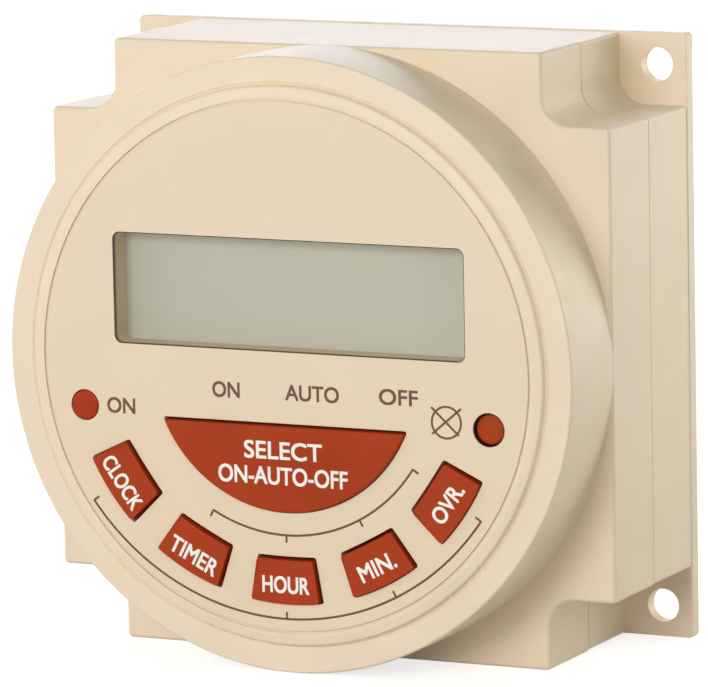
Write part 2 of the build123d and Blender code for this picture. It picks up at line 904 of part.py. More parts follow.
claw_angles = [90 + 360 * i / clip_claw_count for i in range(clip_claw_count)]
half_claw = clip_claw_span / 2
with BuildPart() as cell_clip:
    with BuildSketch(at(cell_front)):
        with Locations(cell_at):
            Circle(claw_inner + clip_thickness)
    extrude(amount=clip_thickness)
    with BuildSketch(at(cell_back - clip_fit)):
        with Locations(cell_at):
            for angle in claw_angles:
                add(sector(claw_inner, claw_inner + clip_thickness, angle - half_claw, angle + half_claw))
    extrude(amount=cell_front - cell_back + clip_fit)
    with BuildSketch(at(cell_back - clip_fit - clip_thickness)):
        with Locations(cell_at):
            for angle in claw_angles:
                low, high = angle - half_claw, angle + half_claw
                add(sector(cell_r - clip_claw_reach, claw_inner + clip_thickness, low, high))
    extrude(amount=clip_thickness)
save(cell_clip, "cell_clip")

# Link between the boards
pin_top = power_front + link_pin_length - link_pin_tail
link_length = link_ways * link_pitch
with BuildPart() as link_header:
    with BuildSketch(at(power_front)):
        with Locations(link_at):
            Rectangle(link_length, link_width)
            with GridLocations(link_pitch, 0, link_ways, 1):
                Rectangle(link_pin + 2 * link_fit, link_pin + 2 * link_fit, mode=Mode.SUBTRACT)
    extrude(amount=link_header_height)
save(link_header, "link_header")

with BuildPart() as link_pins:
    with BuildSketch(at(power_front - link_pin_tail)):
        with Locations(link_at):
            with GridLocations(link_pitch, 0, link_ways, 1):
                Rectangle(link_pin, link_pin)
    extrude(amount=link_pin_length)
save(link_pins, "link_pins")

socket_back = control_back - link_socket_height
with BuildPart() as link_socket:
    with BuildSketch(at(socket_back)):
        with Locations(link_at):
            Rectangle(link_length, link_width)
    extrude(amount=link_socket_height)
    with BuildSketch(at(socket_back)):
        with Locations(link_at):
            with GridLocations(link_pitch, 0, link_ways, 1):
                Rectangle(link_pin + 2 * link_socket_fit, link_pin + 2 * link_socket_fit)
    extrude(amount=pin_top - socket_back + clearance_fit, mode=Mode.SUBTRACT)
save(link_socket, "link_socket")

# Terminals: blades in the well, standing on the power board with two legs each
blade_length = power_back - terminal_recess
leg_length = board_thickness + terminal_leg_out
leg_xs = [x + side * terminal_leg_spacing / 2 for x in terminal_xs for side in (-1, 1)]
with BuildPart() as terminal_tabs:
    with BuildSketch(Plane.XY.offset(well_z - terminal_thickness / 2)):
        with Locations(*[(x, -(terminal_recess + blade_length / 2)) for x in terminal_xs]):
            Rectangle(terminal_width, blade_length)
        chamfer(vertices().group_by(Axis.Y)[-1], terminal_tip_chamfer)
        with Locations(*[(x, -(power_back + leg_length / 2)) for x in leg_xs]):
            Rectangle(terminal_leg_width, leg_length)
        with Locations(*[(x, -(terminal_recess + terminal_hole_from_tip)) for x in terminal_xs]):
            Circle(terminal_hole_d / 2, mode=Mode.SUBTRACT)
    extrude(amount=terminal_thickness)
save(terminal_tabs, "terminal_tabs")

# Relay: places along X and depths inside its case
relay_left = relay_x - relay_length / 2
relay_floor = power_front + relay_base_thickness
relay_top = power_front + relay_height
yoke_left = relay_left + yoke_end_clearance
yoke_top = relay_top - relay_case_wall - yoke_top_clearance
yoke_under = yoke_top - yoke_thickness
coil_depth = (relay_floor + yoke_under) / 2
bobbin_left = yoke_left + yoke_thickness
bobbin_right = bobbin_left + bobbin_length
core_end = bobbin_right + core_stick_out
armature_left = core_end + pole_gap
armature_right = armature_left + armature_thickness
leaf_top = yoke_top - contact_drop
leaf_under = leaf_top - contact_leaf_thickness
leaf_end = armature_right + contact_leaf_thickness + contact_reach
contact_x = leaf_end - contact_margin - contact_d / 2
moving_contact_back = leaf_under - contact_thickness
fixed_contact_front = moving_contact_back - contact_gap
shelf_top = fixed_contact_front - contact_thickness
shelf_under = shelf_top - fixed_blade_thickness
relay_pin_at = [
    (relay_x + sx * (relay_length / 2 - relay_pin_inset), relay_z + sz * relay_pin_spacing / 2)
    for sx in (-1, 1)
    for sz in (-1, 1)
]
relay_plane = Plane.XY.offset(relay_z)
inner_length = relay_length - 2 * relay_case_wall
inner_width = relay_width - 2 * relay_case_wall

with BuildPart() as relay_base:
    with BuildSketch(at(power_front)):
        with Locations((relay_x, relay_z)):
            Rectangle(inner_length - 2 * relay_fit, inner_width - 2 * relay_fit)
        with Locations(*relay_pin_at):
            Circle(relay_pin_d / 2 + relay_fit, mode=Mode.SUBTRACT)
    extrude(amount=relay_base_thickness)
save(relay_base, "relay_base")

with BuildPart() as relay_case:
    with BuildSketch(at(power_front + relay_case_lift)):
        with Locations((relay_x, relay_z)):
            RectangleRounded(relay_length, relay_width, relay_case_round)
    extrude(amount=relay_height - relay_case_lift)
    fillet(faces().sort_by(Axis.Y)[0].edges(), relay_case_edge_round)
    with BuildSketch(at(power_front + relay_case_lift)):
        with Locations((relay_x, relay_z)):
            Rectangle(inner_length, inner_width)
    extrude(amount=relay_height - relay_case_lift - relay_case_wall, mode=Mode.SUBTRACT)
save(relay_case, "relay_case")

with BuildPart() as relay_pins:
    with BuildSketch(at(power_back - terminal_leg_out)):
        with Locations(*relay_pin_at):
            Circle(relay_pin_d / 2)
    extrude(amount=relay_floor - power_back + terminal_leg_out)
save(relay_pins, "relay_pins")

with BuildPart() as relay_yoke:
    with BuildSketch(relay_plane):
        side_panel(yoke_left, bobbin_left, relay_floor, yoke_top)
        side_panel(yoke_left, yoke_left + yoke_length, yoke_under, yoke_top)
    extrude(amount=yoke_width / 2, both=True)
    with BuildSketch(Plane.YZ.offset(yoke_left)):
        with Locations((-coil_depth, relay_z)):
            Circle(core_d / 2 + core_fit)
    extrude(amount=yoke_thickness, mode=Mode.SUBTRACT)
save(relay_yoke, "relay_yoke")

with BuildPart() as relay_core:
    with BuildSketch(Plane.YZ.offset(yoke_left)):
        with Locations((-coil_depth, relay_z)):
            Circle(core_d / 2)
    extrude(amount=core_end - yoke_left)
save(relay_core, "relay_core")

tube_r = core_d / 2 + core_fit + bobbin_tube_wall
with BuildPart() as relay_bobbin:
    with BuildSketch(Plane.YZ.offset(bobbin_left)):
        with Locations((-coil_depth, relay_z)):
            Circle(tube_r)
    extrude(amount=bobbin_length)
    for start in (bobbin_left, bobbin_right - bobbin_flange_thickness):
        with BuildSketch(Plane.YZ.offset(start)):
            with Locations((-coil_depth, relay_z)):
                RectangleRounded(bobbin_flange, bobbin_flange, bobbin_flange_thickness)
        extrude(amount=bobbin_flange_thickness)
    with BuildSketch(Plane.YZ.offset(bobbin_left)):
        with Locations((-coil_depth, relay_z)):
            Circle(core_d / 2 + core_fit)
    extrude(amount=bobbin_length, mode=Mode.SUBTRACT)
save(relay_bobbin, "relay_bobbin")

with BuildPart() as relay_winding:
    with BuildSketch(Plane.YZ.offset(bobbin_left + bobbin_flange_thickness)):
        with Locations((-coil_depth, relay_z)):
            Circle(winding_d / 2)
            Circle(tube_r + core_fit, mode=Mode.SUBTRACT)
    extrude(amount=bobbin_length - 2 * bobbin_flange_thickness)
save(relay_winding, "relay_winding")

with BuildPart() as relay_armature:
    with BuildSketch(relay_plane):
        side_panel(armature_left, armature_right, yoke_top - armature_length, yoke_top)
    extrude(amount=armature_width / 2, both=True)
save(relay_armature, "relay_armature")

with BuildPart() as relay_moving_contact:
    with BuildSketch(relay_plane):
        leaf_right = armature_right + contact_leaf_thickness
        side_panel(armature_right, leaf_right, leaf_top - contact_leaf_length, leaf_top)
        side_panel(armature_right, leaf_end, leaf_under, leaf_top)
    extrude(amount=contact_leaf_width / 2, both=True)
    with BuildSketch(at(moving_contact_back)):
        with Locations((contact_x, relay_z)):
            Circle(contact_d / 2)
    extrude(amount=contact_thickness)
save(relay_moving_contact, "relay_moving_contact")

with BuildPart() as relay_fixed_contact:
    with BuildSketch(relay_plane):
        blade_right = contact_x + contact_d / 2
        side_panel(blade_right - fixed_blade_thickness, blade_right, relay_floor, shelf_top)
        side_panel(contact_x - contact_d / 2, blade_right, shelf_under, shelf_top)
    extrude(amount=contact_leaf_width / 2, both=True)
    with BuildSketch(at(shelf_top)):
        with Locations((contact_x, relay_z)):
            Circle(contact_d / 2)
    extrude(amount=contact_thickness)
save(relay_fixed_contact, "relay_fixed_contact")

# Capacitors, varistor, diodes and resistor on the power board
with BuildPart() as dropper_capacitor:
    with BuildSketch(at(power_front)):
        with Locations(dropper_at):
            RectangleRounded(dropper_size[0], dropper_size[1], can_edge_round)
    extrude(amount=dropper_size[2])
    fillet(faces().sort_by(Axis.Y)[0].edges(), can_edge_round)
save(dropper_capacitor, "dropper_capacitor")

with BuildPart() as filter_capacitor:
    with BuildSketch(at(power_front)):
        with Locations(filter_at):
            Circle(filter_d / 2)
    extrude(amount=filter_height)
    fillet(faces().sort_by(Axis.Y)[0].edges(), can_edge_round)
save(filter_capacitor, "filter_capacitor")

varistor_depth = power_front + varistor_lift + varistor_d / 2
varistor_leads = [(varistor_at[0] + side * lead_spacing / 2, varistor_at[1]) for side in (-1, 1)]
with BuildPart() as varistor:
    with BuildSketch(Plane.XY.offset(varistor_at[1] - varistor_thickness / 2)):
        with Locations((varistor_at[0], -varistor_depth)):
            Circle(varistor_d / 2)
    extrude(amount=varistor_thickness)
    fillet(edges(), varistor_round)
    with BuildSketch(at(power_back - terminal_leg_out)):
        with Locations(*varistor_leads):
            Circle(lead_d / 2)
    extrude(amount=varistor_depth - power_back + terminal_leg_out)
save(varistor, "varistor")

diode = axial_part(diode_d, diode_length)
diode_places = [
    (diode_at[0] + sx * diode_spacing[0] / 2, -power_front, diode_at[1] + sz * diode_spacing[1] / 2)
    for sx in (-1, 1)
    for sz in (-1, 1)
]
with BuildPart() as rectifier_diodes:
    with Locations(*diode_places):
        add(diode)
save(rectifier_diodes, "rectifier_diodes")

resistor = axial_part(resistor_d, resistor_length)
with BuildPart() as bleed_resistor:
    with Locations((resistor_at[0], -power_front, resistor_at[1])):
        add(resistor)
save(bleed_resistor, "bleed_resistor")

# Power board, with a hole for every lead, and its screws
with BuildPart() as power_board:
    with BuildSketch(at(power_back)):
        Rectangle(power_board_w, power_board_h)
        with Locations(*power_post_at):
            Circle(small_shank_d / 2 + clearance_fit, mode=Mode.SUBTRACT)
        with Locations(*[(x, well_z) for x in leg_xs]):
            Rectangle(
                terminal_leg_width + 2 * terminal_fit,
                terminal_thickness + 2 * terminal_fit,
                mode=Mode.SUBTRACT,
            )
        with Locations(link_at):
            with GridLocations(link_pitch, 0, link_ways, 1):
                Circle(link_pin / sqrt(2) + link_fit, mode=Mode.SUBTRACT)
        with Locations(*relay_pin_at):
            Circle(relay_pin_d / 2 + clearance_fit, mode=Mode.SUBTRACT)
        with Locations(*varistor_leads):
            Circle(lead_d / 2 + clearance_fit, mode=Mode.SUBTRACT)
    extrude(amount=board_thickness)
save(power_board, "power_board")

board_screws = screws(
    power_post_at,
    power_front,
    power_back - small_screw_bite,
    small_shank_d,
    small_head_d,
    small_head_height,
    small_head_round,
)
save(board_screws, "board_screws")
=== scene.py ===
# %% [markdown]
# # An electronic time switch, dressed for its portrait
# The CAD model of this timer is already packed. It is a fixed frame: its parts are the right size
# and in the right place, and this notebook models the visible skin around it. Every length below
# is in millimetres until it reaches Blender, which works in metres.

# %% Load the frame
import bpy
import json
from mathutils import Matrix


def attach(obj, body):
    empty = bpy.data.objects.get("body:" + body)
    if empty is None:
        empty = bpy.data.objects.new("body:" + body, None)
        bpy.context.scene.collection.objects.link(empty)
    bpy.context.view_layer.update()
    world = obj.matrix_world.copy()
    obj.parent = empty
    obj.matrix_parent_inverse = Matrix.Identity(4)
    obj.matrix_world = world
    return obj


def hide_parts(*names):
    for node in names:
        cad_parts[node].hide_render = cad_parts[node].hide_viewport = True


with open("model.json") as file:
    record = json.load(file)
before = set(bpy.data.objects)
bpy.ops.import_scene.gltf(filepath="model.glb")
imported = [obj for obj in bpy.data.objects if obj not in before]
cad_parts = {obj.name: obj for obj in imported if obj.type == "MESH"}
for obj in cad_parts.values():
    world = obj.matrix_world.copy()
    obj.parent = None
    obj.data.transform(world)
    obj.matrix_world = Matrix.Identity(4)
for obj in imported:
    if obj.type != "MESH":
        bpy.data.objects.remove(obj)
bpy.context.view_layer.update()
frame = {"nodes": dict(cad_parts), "record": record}

# %% [markdown]
# ## Working in millimetres, facing the timer
# A maker thinks of this timer as a face seen from the front: so far to the right, so far forward
# of the wall it is screwed to, so far up. `place` turns those three numbers into a Blender point.
# The other helpers start a piece from a primitive and leave it at the origin with its place in its
# mesh.

# %% Places and first shapes
import json
from contextlib import contextmanager
from math import asin, cos, degrees, hypot, pi, radians, sin, tan, tau

import bmesh
import bpy
from mathutils import Vector

MM = 0.001


def place(x, depth, z):
    """A point from millimetres to the right, forward of the back plane, and up."""
    return Vector((x, -depth, z)) * MM


def select_only(*pieces):
    """Selects these pieces and makes the first one active."""
    bpy.ops.object.select_all(action="DESELECT")
    for piece in pieces:
        piece.select_set(True)
    bpy.context.view_layer.objects.active = pieces[0]


def settle(name):
    """Names the new piece and moves its place, turn and size into its mesh."""
    piece = bpy.context.object
    piece.name = piece.data.name = name
    bpy.ops.object.transform_apply(location=True, rotation=True, scale=True)
    return piece


def block(name, low, high):
    """A rectangular block between two corners."""
    a, b = place(*low), place(*high)
    size = [abs(v) for v in b - a]
    bpy.ops.mesh.primitive_cube_add(size=1, location=(a + b) / 2, scale=size)
    return settle(name)


def rod(name, x, z, radius, back, front, sides=64):
    """A round bar that points at the viewer."""
    bpy.ops.mesh.primitive_cylinder_add(
        vertices=sides,
        radius=radius * MM,
        depth=(front - back) * MM,
        location=place(x, (back + front) / 2, z),
        rotation=(pi / 2, 0, 0),
    )
    return settle(name)


print("10 mm right, 20 mm forward and 30 mm up is", place(10, 20, 30))

# %% [markdown]
# ## Choosing edges in code
# By hand you would click the edges to round. Here they are chosen by place: `ends` gives the two
# ends of an edge in millimetres, and a small test says which edges are wanted. The operators then
# act on that selection, as they would after a click.

# %% Selecting by place
NEAR = 0.02


@contextmanager
def editing(piece):
    """Edit mode on one piece, for as long as the indented lines last."""
    select_only(piece)
    bpy.ops.object.mode_set(mode="EDIT")
    bpy.ops.mesh.select_mode(type="VERT")
    yield
    bpy.ops.object.mode_set(mode="OBJECT")


def ends(edge):
    """The two ends of an edge in millimetres: right, forward, up."""
    return [(v.co.x / MM, -v.co.y / MM, v.co.z / MM) for v in edge.verts]


def choose(kind, test):
    """Selects the vertices or edges that pass the test, and says how many."""
    bpy.ops.mesh.select_mode(type=kind)
    bpy.ops.mesh.select_all(action="DESELECT")
    shape = bmesh.from_edit_mesh(bpy.context.object.data)
    chosen = [item for item in {"VERT": shape.verts, "EDGE": shape.edges}[kind] if test(item)]
    for item in chosen:
        item.select_set(True)
    bmesh.update_edit_mesh(bpy.context.object.data)
    return len(chosen)


def near(a, b):
    return abs(a - b) < NEAR


def runs_forward(a, b):
    """An edge that points straight at the viewer."""
    return near(a[0], b[0]) and near(a[2], b[2])


def at_depth(depth):
    """A test for edges that lie at one depth."""
    return lambda a, b: near(a[1], depth) and near(b[1], depth)


def round_edges(piece, test, radius, segments=3):
    """Rounds the edges whose two ends pass the test."""
    with editing(piece):
        count = choose("EDGE", lambda edge: test(*ends(edge)))
        bpy.ops.mesh.bevel(
            offset=radius * MM, segments=segments, affect="EDGES", clamp_overlap=True
        )
    print(piece.name, "edges rounded", count)


print("places count as the same within", NEAR, "mm")

# %% [markdown]
# ## Turning
# Round parts are made as on a lathe: half a profile is drawn point by point, its corners are
# rounded, and it is spun about the middle axis. The spin leaves doubled points at the seam and the
# poles, so these are merged before the normals are turned outwards. Many profiles only step from
# one radius to the next, and `stepped` writes those.

# %% The lathe
WELD = 0.001


def sweep(steps, angle, centre):
    """In edit mode, spins the mesh about an axis that points at the viewer."""
    bpy.ops.mesh.select_all(action="SELECT")
    bpy.ops.mesh.spin(steps=steps, angle=angle, center=centre, axis=(0, 1, 0))
    bpy.ops.mesh.select_all(action="SELECT")
    bpy.ops.mesh.remove_doubles(threshold=WELD * MM)
    bpy.ops.mesh.normals_make_consistent(inside=False)


def turn(name, profile, rounds=(), steps=240, centre=(0, 0)):
    """Spins a profile of (radius, depth) points about an axis. rounds is {point: radius}."""
    bpy.ops.mesh.primitive_plane_add(size=MM, location=(0, 0, 0))
    piece = settle(name)
    x, z = centre
    points = [place(x + radius, depth, z) for radius, depth in profile]
    with editing(piece):
        bpy.ops.mesh.select_all(action="SELECT")
        bpy.ops.mesh.merge(type="CENTER")
        bpy.ops.transform.translate(value=points[0])
        for a, b in zip(points, points[1:]):
            bpy.ops.mesh.extrude_vertices_move(TRANSFORM_OT_translate={"value": b - a})
        for index, radius in dict(rounds).items():
            choose("VERT", lambda vertex: (vertex.co - points[index]).length < NEAR * MM)
            bpy.ops.mesh.bevel(offset=radius * MM, segments=6, affect="VERTICES")
        sweep(steps, tau, place(x, 0, z))
    return piece


def stepped(back, *steps):
    """A profile from the axis out and back, with a (radius, front) for each step."""
    points = [(0, back)]
    for radius, front in steps:
        points += [(radius, points[-1][1]), (radius, front)]
    return points + [(0, points[-1][1])]


print("a stepped profile:", stepped(0, (5, 10), (3, 20)))

# %% [markdown]
# ## Adding, cutting and copying
# Openings are cut with a Boolean modifier, which is the same thought as a milling cutter: the
# cutter is modelled, used once and thrown away. A boss is added in the same way. Two solids that
# only touch would leave doubled walls, so what is added reaches a little into the other piece, and
# what cuts reaches past it.

# %% Adding, cutting and copying
BITE = 0.3
PAST = 1.0


def combine(piece, how, others):
    """Joins the others to the piece or cuts them out of it. They must not touch each other."""
    select_only(*others)
    if len(others) > 1:
        bpy.ops.object.join()
    tool = bpy.context.view_layer.objects.active
    change = piece.modifiers.new("change", "BOOLEAN")
    change.operation, change.object, change.solver = how, tool, "EXACT"
    select_only(piece)
    bpy.ops.object.modifier_apply(modifier=change.name)
    bpy.data.objects.remove(tool)


def add(piece, *others):
    combine(piece, "UNION", others)


def cut(piece, *tools):
    combine(piece, "DIFFERENCE", tools)


def both_ways(x, z):
    """The four places that mirror one another about the middle."""
    return [(sx * x, sz * z) for sx in (-1, 1) for sz in (-1, 1)]


def four_rods(x, z, radius, back, front, sides):
    """The same rod at those four places."""
    return [rod("rod", *at, radius, back, front, sides) for at in both_ways(x, z)]


def copies(piece, moves):
    """A copy for each move, with its own mesh. The piece that was copied goes."""
    made = []
    for move in moves:
        select_only(piece)
        bpy.ops.object.duplicate()
        bpy.context.object.location = move
        made.append(settle("copy"))
    bpy.data.objects.remove(piece)
    return made


def joined(pieces, name):
    """The pieces as one, under a new name."""
    select_only(*pieces)
    if len(pieces) > 1:
        bpy.ops.object.join()
    return settle(name)


print("added pieces reach", BITE, "mm in, cutters", PAST, "mm past")

# %% [markdown]
# ## Building a material from nodes
# A material is a few nodes wired to Blender's Principled shader. Patterns read Object coordinates,
# so they stay on the piece when it moves. Colours are written as they look on the photograph, and
# `paint` makes them linear. Every finish is kept in `finishes` under its name.

# %% Colours and nodes
finishes = {}


def paint(red, green, blue):
    """A colour of 0 to 255 steps as Blender's linear colour."""
    steps = [value / 255 for value in (red, green, blue)]
    return [v / 12.92 if v <= 0.04045 else ((v + 0.055) / 1.055) ** 2.4 for v in steps] + [1]


def shade(colour, factor):
    """The same colour, lighter or darker."""
    return [min(1, value * factor) for value in colour[:3]] + [1]


def set_inputs(node, **settings):
    """Fills inputs by name: From_Min=0.3 fills the one called From Min."""
    for setting, value in settings.items():
        node.inputs[setting.replace("_", " ")].default_value = value


def add_node(finish, kind, **settings):
    """A new node with its inputs filled."""
    node = finish.node_tree.nodes.new(kind)
    set_inputs(node, **settings)
    return node


def wire(output, target):
    """Links an output to an input of the same material."""
    target.id_data.links.new(output, target)


def shader_of(finish):
    return finish.node_tree.nodes["Principled BSDF"]


def new_material(name, colour, roughness, **settings):
    """A material with these constants on the shader's own sockets."""
    finish = finishes[name] = bpy.data.materials.new(name)
    finish.use_nodes = True
    finish.diffuse_color = colour
    set_inputs(shader_of(finish), Base_Color=colour, Roughness=roughness, **settings)
    return finish


print("cream is", [round(v, 3) for v in paint(236, 217, 193)])

# %% [markdown]
# ## Patterns
# No real surface has one colour and one polish all over. Noise stands for that: `spread` maps the
# middle of the noise onto the range that is wanted, and the result goes to the colour, to the
# roughness, or to a bump of so many millimetres. A noise is given by its grain in millimetres and
# its detail.

# %% Patterns
def object_place(finish):
    """Where a point lies on its own piece."""
    return add_node(finish, "ShaderNodeTexCoord").outputs["Object"]


def add_noise(finish, size, detail=2.0, stretch=(1, 1, 1)):
    """Noise with grains about so many millimetres across."""
    mapping = add_node(finish, "ShaderNodeMapping", Scale=stretch)
    noise = add_node(finish, "ShaderNodeTexNoise", Scale=1 / (size * MM), Detail=detail)
    wire(object_place(finish), mapping.inputs["Vector"])
    wire(mapping.outputs["Vector"], noise.inputs["Vector"])
    return noise.outputs["Fac"]


def spread(finish, source, low, high, start=0.3, end=0.7):
    """Maps the range from start to end onto the range from low to high."""
    node = add_node(
        finish, "ShaderNodeMapRange", From_Min=start, From_Max=end, To_Min=low, To_Max=high
    )
    wire(source, node.inputs["Value"])
    return node.outputs["Result"]


def blend_colours(finish, source, first, second):
    """A colour that runs from the first to the second with the pattern."""
    node = add_node(finish, "ShaderNodeMix")
    node.data_type = "RGBA"
    set_inputs(node, A=first, B=second)
    wire(source, node.inputs["Factor"])
    return node.outputs["Result"]


def set_colour(finish, source):
    wire(source, shader_of(finish).inputs["Base Color"])


def vary_colour(finish, colour, darkest, lightest, *noise):
    """Lets the colour wander between two shades of itself."""
    patches = spread(finish, add_noise(finish, *noise), 0, 1)
    tints = shade(colour, darkest), shade(colour, lightest)
    set_colour(finish, blend_colours(finish, patches, *tints))


def vary_polish(finish, low, high, *noise):
    """Lets the roughness wander between two values."""
    pattern = add_noise(finish, *noise)
    wire(spread(finish, pattern, low, high), shader_of(finish).inputs["Roughness"])
    return pattern


def add_bump(finish, source, height, under=None):
    """Raises the surface by the pattern, so many millimetres high."""
    node = add_node(finish, "ShaderNodeBump", Strength=1.0, Distance=height * MM)
    wire(source, node.inputs["Height"])
    if under:
        wire(under, node.inputs["Normal"])
    wire(node.outputs["Normal"], shader_of(finish).inputs["Normal"])
    return node.outputs["Normal"]


print("a noise of 9 mm grains has the scale", round(1 / (9 * MM)))

# %% [markdown]
# ## One recipe for every moulded part
# All the plastic on this timer is injection moulded. It has no gloss to speak of: the mould was
# spark eroded, which leaves a fine pebble of a tenth of a millimetre. The recipe has four patterns:
# a wide drift of colour, a middle-sized change of polish, a broad unevenness, and that fine grain.
# Other numbers give the satin face, the duller housing, the rust red keys and the black plastics
# inside.

# %% Moulded plastic
def moulded(name, colour, roughness=0.5, grain=0.16, height=0.006, drift=0.04, coat=0.0, shine=0.5):
    finish = new_material(
        name, colour, roughness, Specular_IOR_Level=shine, Coat_Weight=coat, Coat_Roughness=0.25
    )
    vary_colour(finish, colour, 1 - drift, 1 + drift, 9.0, 3.0)
    vary_polish(finish, roughness - 0.03, roughness + 0.04, 2.5, 4.0)
    broad = add_bump(finish, add_noise(finish, 6.0, 1.0), height / 2)
    add_bump(finish, add_noise(finish, grain, 3.0), height, under=broad)
    return finish


housing_plastic = moulded("housing_plastic", paint(236, 217, 193), drift=0.02)
face_plastic = moulded(
    "face_plastic", paint(232, 212, 187), 0.46, grain=0.12, height=0.004, drift=0.015
)
key_plastic = moulded(
    "key_plastic", paint(172, 62, 28), grain=0.10, height=0.005, drift=0.07, shine=0.1
)
reset_plastic = moulded("reset_plastic", paint(172, 66, 26), grain=0.1, drift=0.07, shine=0.1)
print("moulded finishes", len(finishes))

# %% [markdown]
# ## Finishing a piece
# A piece is smooth where its facets meet at a small angle and sharp elsewhere. Large flat faces
# should stay flat beside small rounded ones, so the normals are weighted by face area. Then the
# piece gets its finish, the body of the mechanism it rides on, and the CAD node it stands for.

# %% The finishing helper
replaced = set()


def finish_piece(piece, material, body, slot, *nodes, angle=34):
    select_only(piece)
    bpy.ops.object.shade_smooth_by_angle(angle=radians(angle))
    weighting = piece.modifiers.new("weighting", "WEIGHTED_NORMAL")
    weighting.keep_sharp = True
    bpy.ops.object.modifier_apply(modifier=weighting.name)
    piece.data.materials.clear()
    piece.data.materials.append(material)
    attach(piece, body)
    if nodes:
        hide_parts(*nodes)
        replaced.update(nodes)
    size = [round(v / MM, 2) for v in piece.dimensions]
    print(piece.name, "faces", len(piece.data.polygons), "size", size)


# %% [markdown]
# ## The square body
# Seen from the front the body is a square with its corners notched out, so that a screwdriver
# reaches the mounting holes. The foot of each notch is rounded, because a mould cutter is round.
# The body is made in two halves that meet in a tongue and groove, 12 mm behind the front.

# %% A notched block
HALF = 38.1
NOTCH = 8.9
NOTCH_ROUND = 3.4
CORNER_ROUND = 0.6
SEAM = 14.0
FRONT = 26.0
WALL = 2.0


def notched_block(name, inset, back, front):
    """The body's outline drawn in by the inset, between two depths."""
    side = HALF - inset
    foot = HALF - NOTCH - inset
    far = HALF + 4 * PAST
    piece = block(name, (-side, back, -side), (side, front, side))
    cutters = []
    for sx, sz in both_ways(1, 1):
        cutter = block(
            "cutter", (sx * foot, back - PAST, sz * foot), (sx * far, front + PAST, sz * far)
        )
        inner = lambda a, b: runs_forward(a, b) and near(abs(a[0]), foot) and near(abs(a[2]), foot)
        round_edges(cutter, inner, NOTCH_ROUND + inset, segments=8)
        cutters.append(cutter)
    cut(piece, *cutters)
    corner = lambda a, b: (
        runs_forward(a, b)
        and near(min(abs(a[0]), abs(a[2])), foot)
        and near(max(abs(a[0]), abs(a[2])), side)
    )
    round_edges(piece, corner, max(CORNER_ROUND - inset, 0.1), segments=6)
    return piece


# %% [markdown]
# ## The front housing
# One moulding carries the front half of the body and the drum. The drum ends in a flat rim. Inside
# the rim runs a fine crease, then a low step, and from the step a collar rises gently to the face
# plate. The photograph shows these as two thin rings with a pale band between them. Behind the
# collar is the ledge that the face plate lies on. The solid outside is made first, then the room
# inside is cut from it.

# %% Front housing, outside
DRUM_R = 38.09
DRUM_BACK, DRUM_FOOT = 20, 0.5
RIM = 38.2
FACE = 38.95
COLLAR_FOOT_R = 34.85
COLLAR_TOP_R = 33.4
COLLAR_SLOPE = 0.2
CREASE, RISE = 0.2, 0.2
STEP_FOOT_R = COLLAR_FOOT_R - CREASE
front_housing = notched_block("front_shell", 0, SEAM, FRONT)
round_edges(front_housing, at_depth(FRONT), 0.5, segments=6)
round_edges(front_housing, at_depth(SEAM), 0.12, segments=2)
profile = [
    (0, DRUM_BACK), (DRUM_R, DRUM_BACK), (DRUM_R, FRONT + DRUM_FOOT), (DRUM_R, RIM),
    (COLLAR_FOOT_R + CREASE, RIM), (COLLAR_FOOT_R, RIM - CREASE), (STEP_FOOT_R, RIM),
    (STEP_FOOT_R - RISE, FACE - COLLAR_SLOPE), (COLLAR_TOP_R, FACE), (0, FACE),
]
add(front_housing, turn("drum", profile, {3: 0.3, 7: 0.18, 8: 0.1}))

# %% Front housing, inside
PLATE_BACK = 36.95
LEDGE_BACK = 35.45
COLLAR_HOLE_R = 33.02
LEDGE_HOLE_R = 31.6
BORE_BACK = 22
cut(front_housing, notched_block("room", WALL, SEAM - PAST, FRONT - WALL))
steps = (DRUM_R - WALL, LEDGE_BACK), (LEDGE_HOLE_R, PLATE_BACK), (COLLAR_HOLE_R, FACE + PAST)
cut(front_housing, turn("bore", stepped(BORE_BACK, *steps)))

# %% [markdown]
# Four screws from the back hold the halves together, so the front half has four bosses. A thin
# tongue runs round inside the seam. Both are hidden, but the halves would not hold without them.

# %% Front housing, bosses and tongue
SCREWS = (23.5, 32.4)
BOSS_R = 3.5
THREAD_R, THREAD_DEEP = 1.48, 8.15
TONGUE, TONGUE_LONG, TONGUE_ROOT = 0.8, 1.6, 0.4
add(front_housing, *four_rods(*SCREWS, BOSS_R, SEAM, FRONT - WALL + BITE, 48))
tongue = notched_block("tongue", WALL - TONGUE, SEAM - TONGUE_LONG, SEAM + TONGUE_ROOT)
cut(tongue, notched_block("hollow", WALL, SEAM - 3 * PAST, SEAM + 2 * PAST))
add(front_housing, tongue)
cut(front_housing, *four_rods(*SCREWS, THREAD_R, SEAM - PAST, SEAM + THREAD_DEEP, 32))
finish_piece(front_housing, housing_plastic, "case", "housing", "front_housing", angle=20)

# %% [markdown]
# ## The rear housing
# The rear half keeps the notched outline, a tenth of a millimetre smaller, and narrows once more
# just before it meets the front half. That leaves a fine groove, which is how the seam shows on
# the photograph. The thin square plate at the very back has the mounting ears for corners. The
# screws sit in counterbores, and five terminals stand in a well low on the back.

# %% Rear housing, outside
EAR = 1.9
STEP = 0.12
NECK, NECK_LONG = 0.4, 1.0
SEAM_GAP = 0.3
rear_housing = notched_block("rear_shell", STEP, 0, SEAM - SEAM_GAP)
add(rear_housing, notched_block("neck", STEP + NECK, SEAM - NECK_LONG, SEAM))
ears = block("ears", (-HALF, 0, -HALF), (HALF, EAR, HALF))
round_edges(ears, runs_forward, CORNER_ROUND, segments=6)
round_edges(ears, at_depth(EAR), 0.2, segments=2)
add(rear_housing, ears)

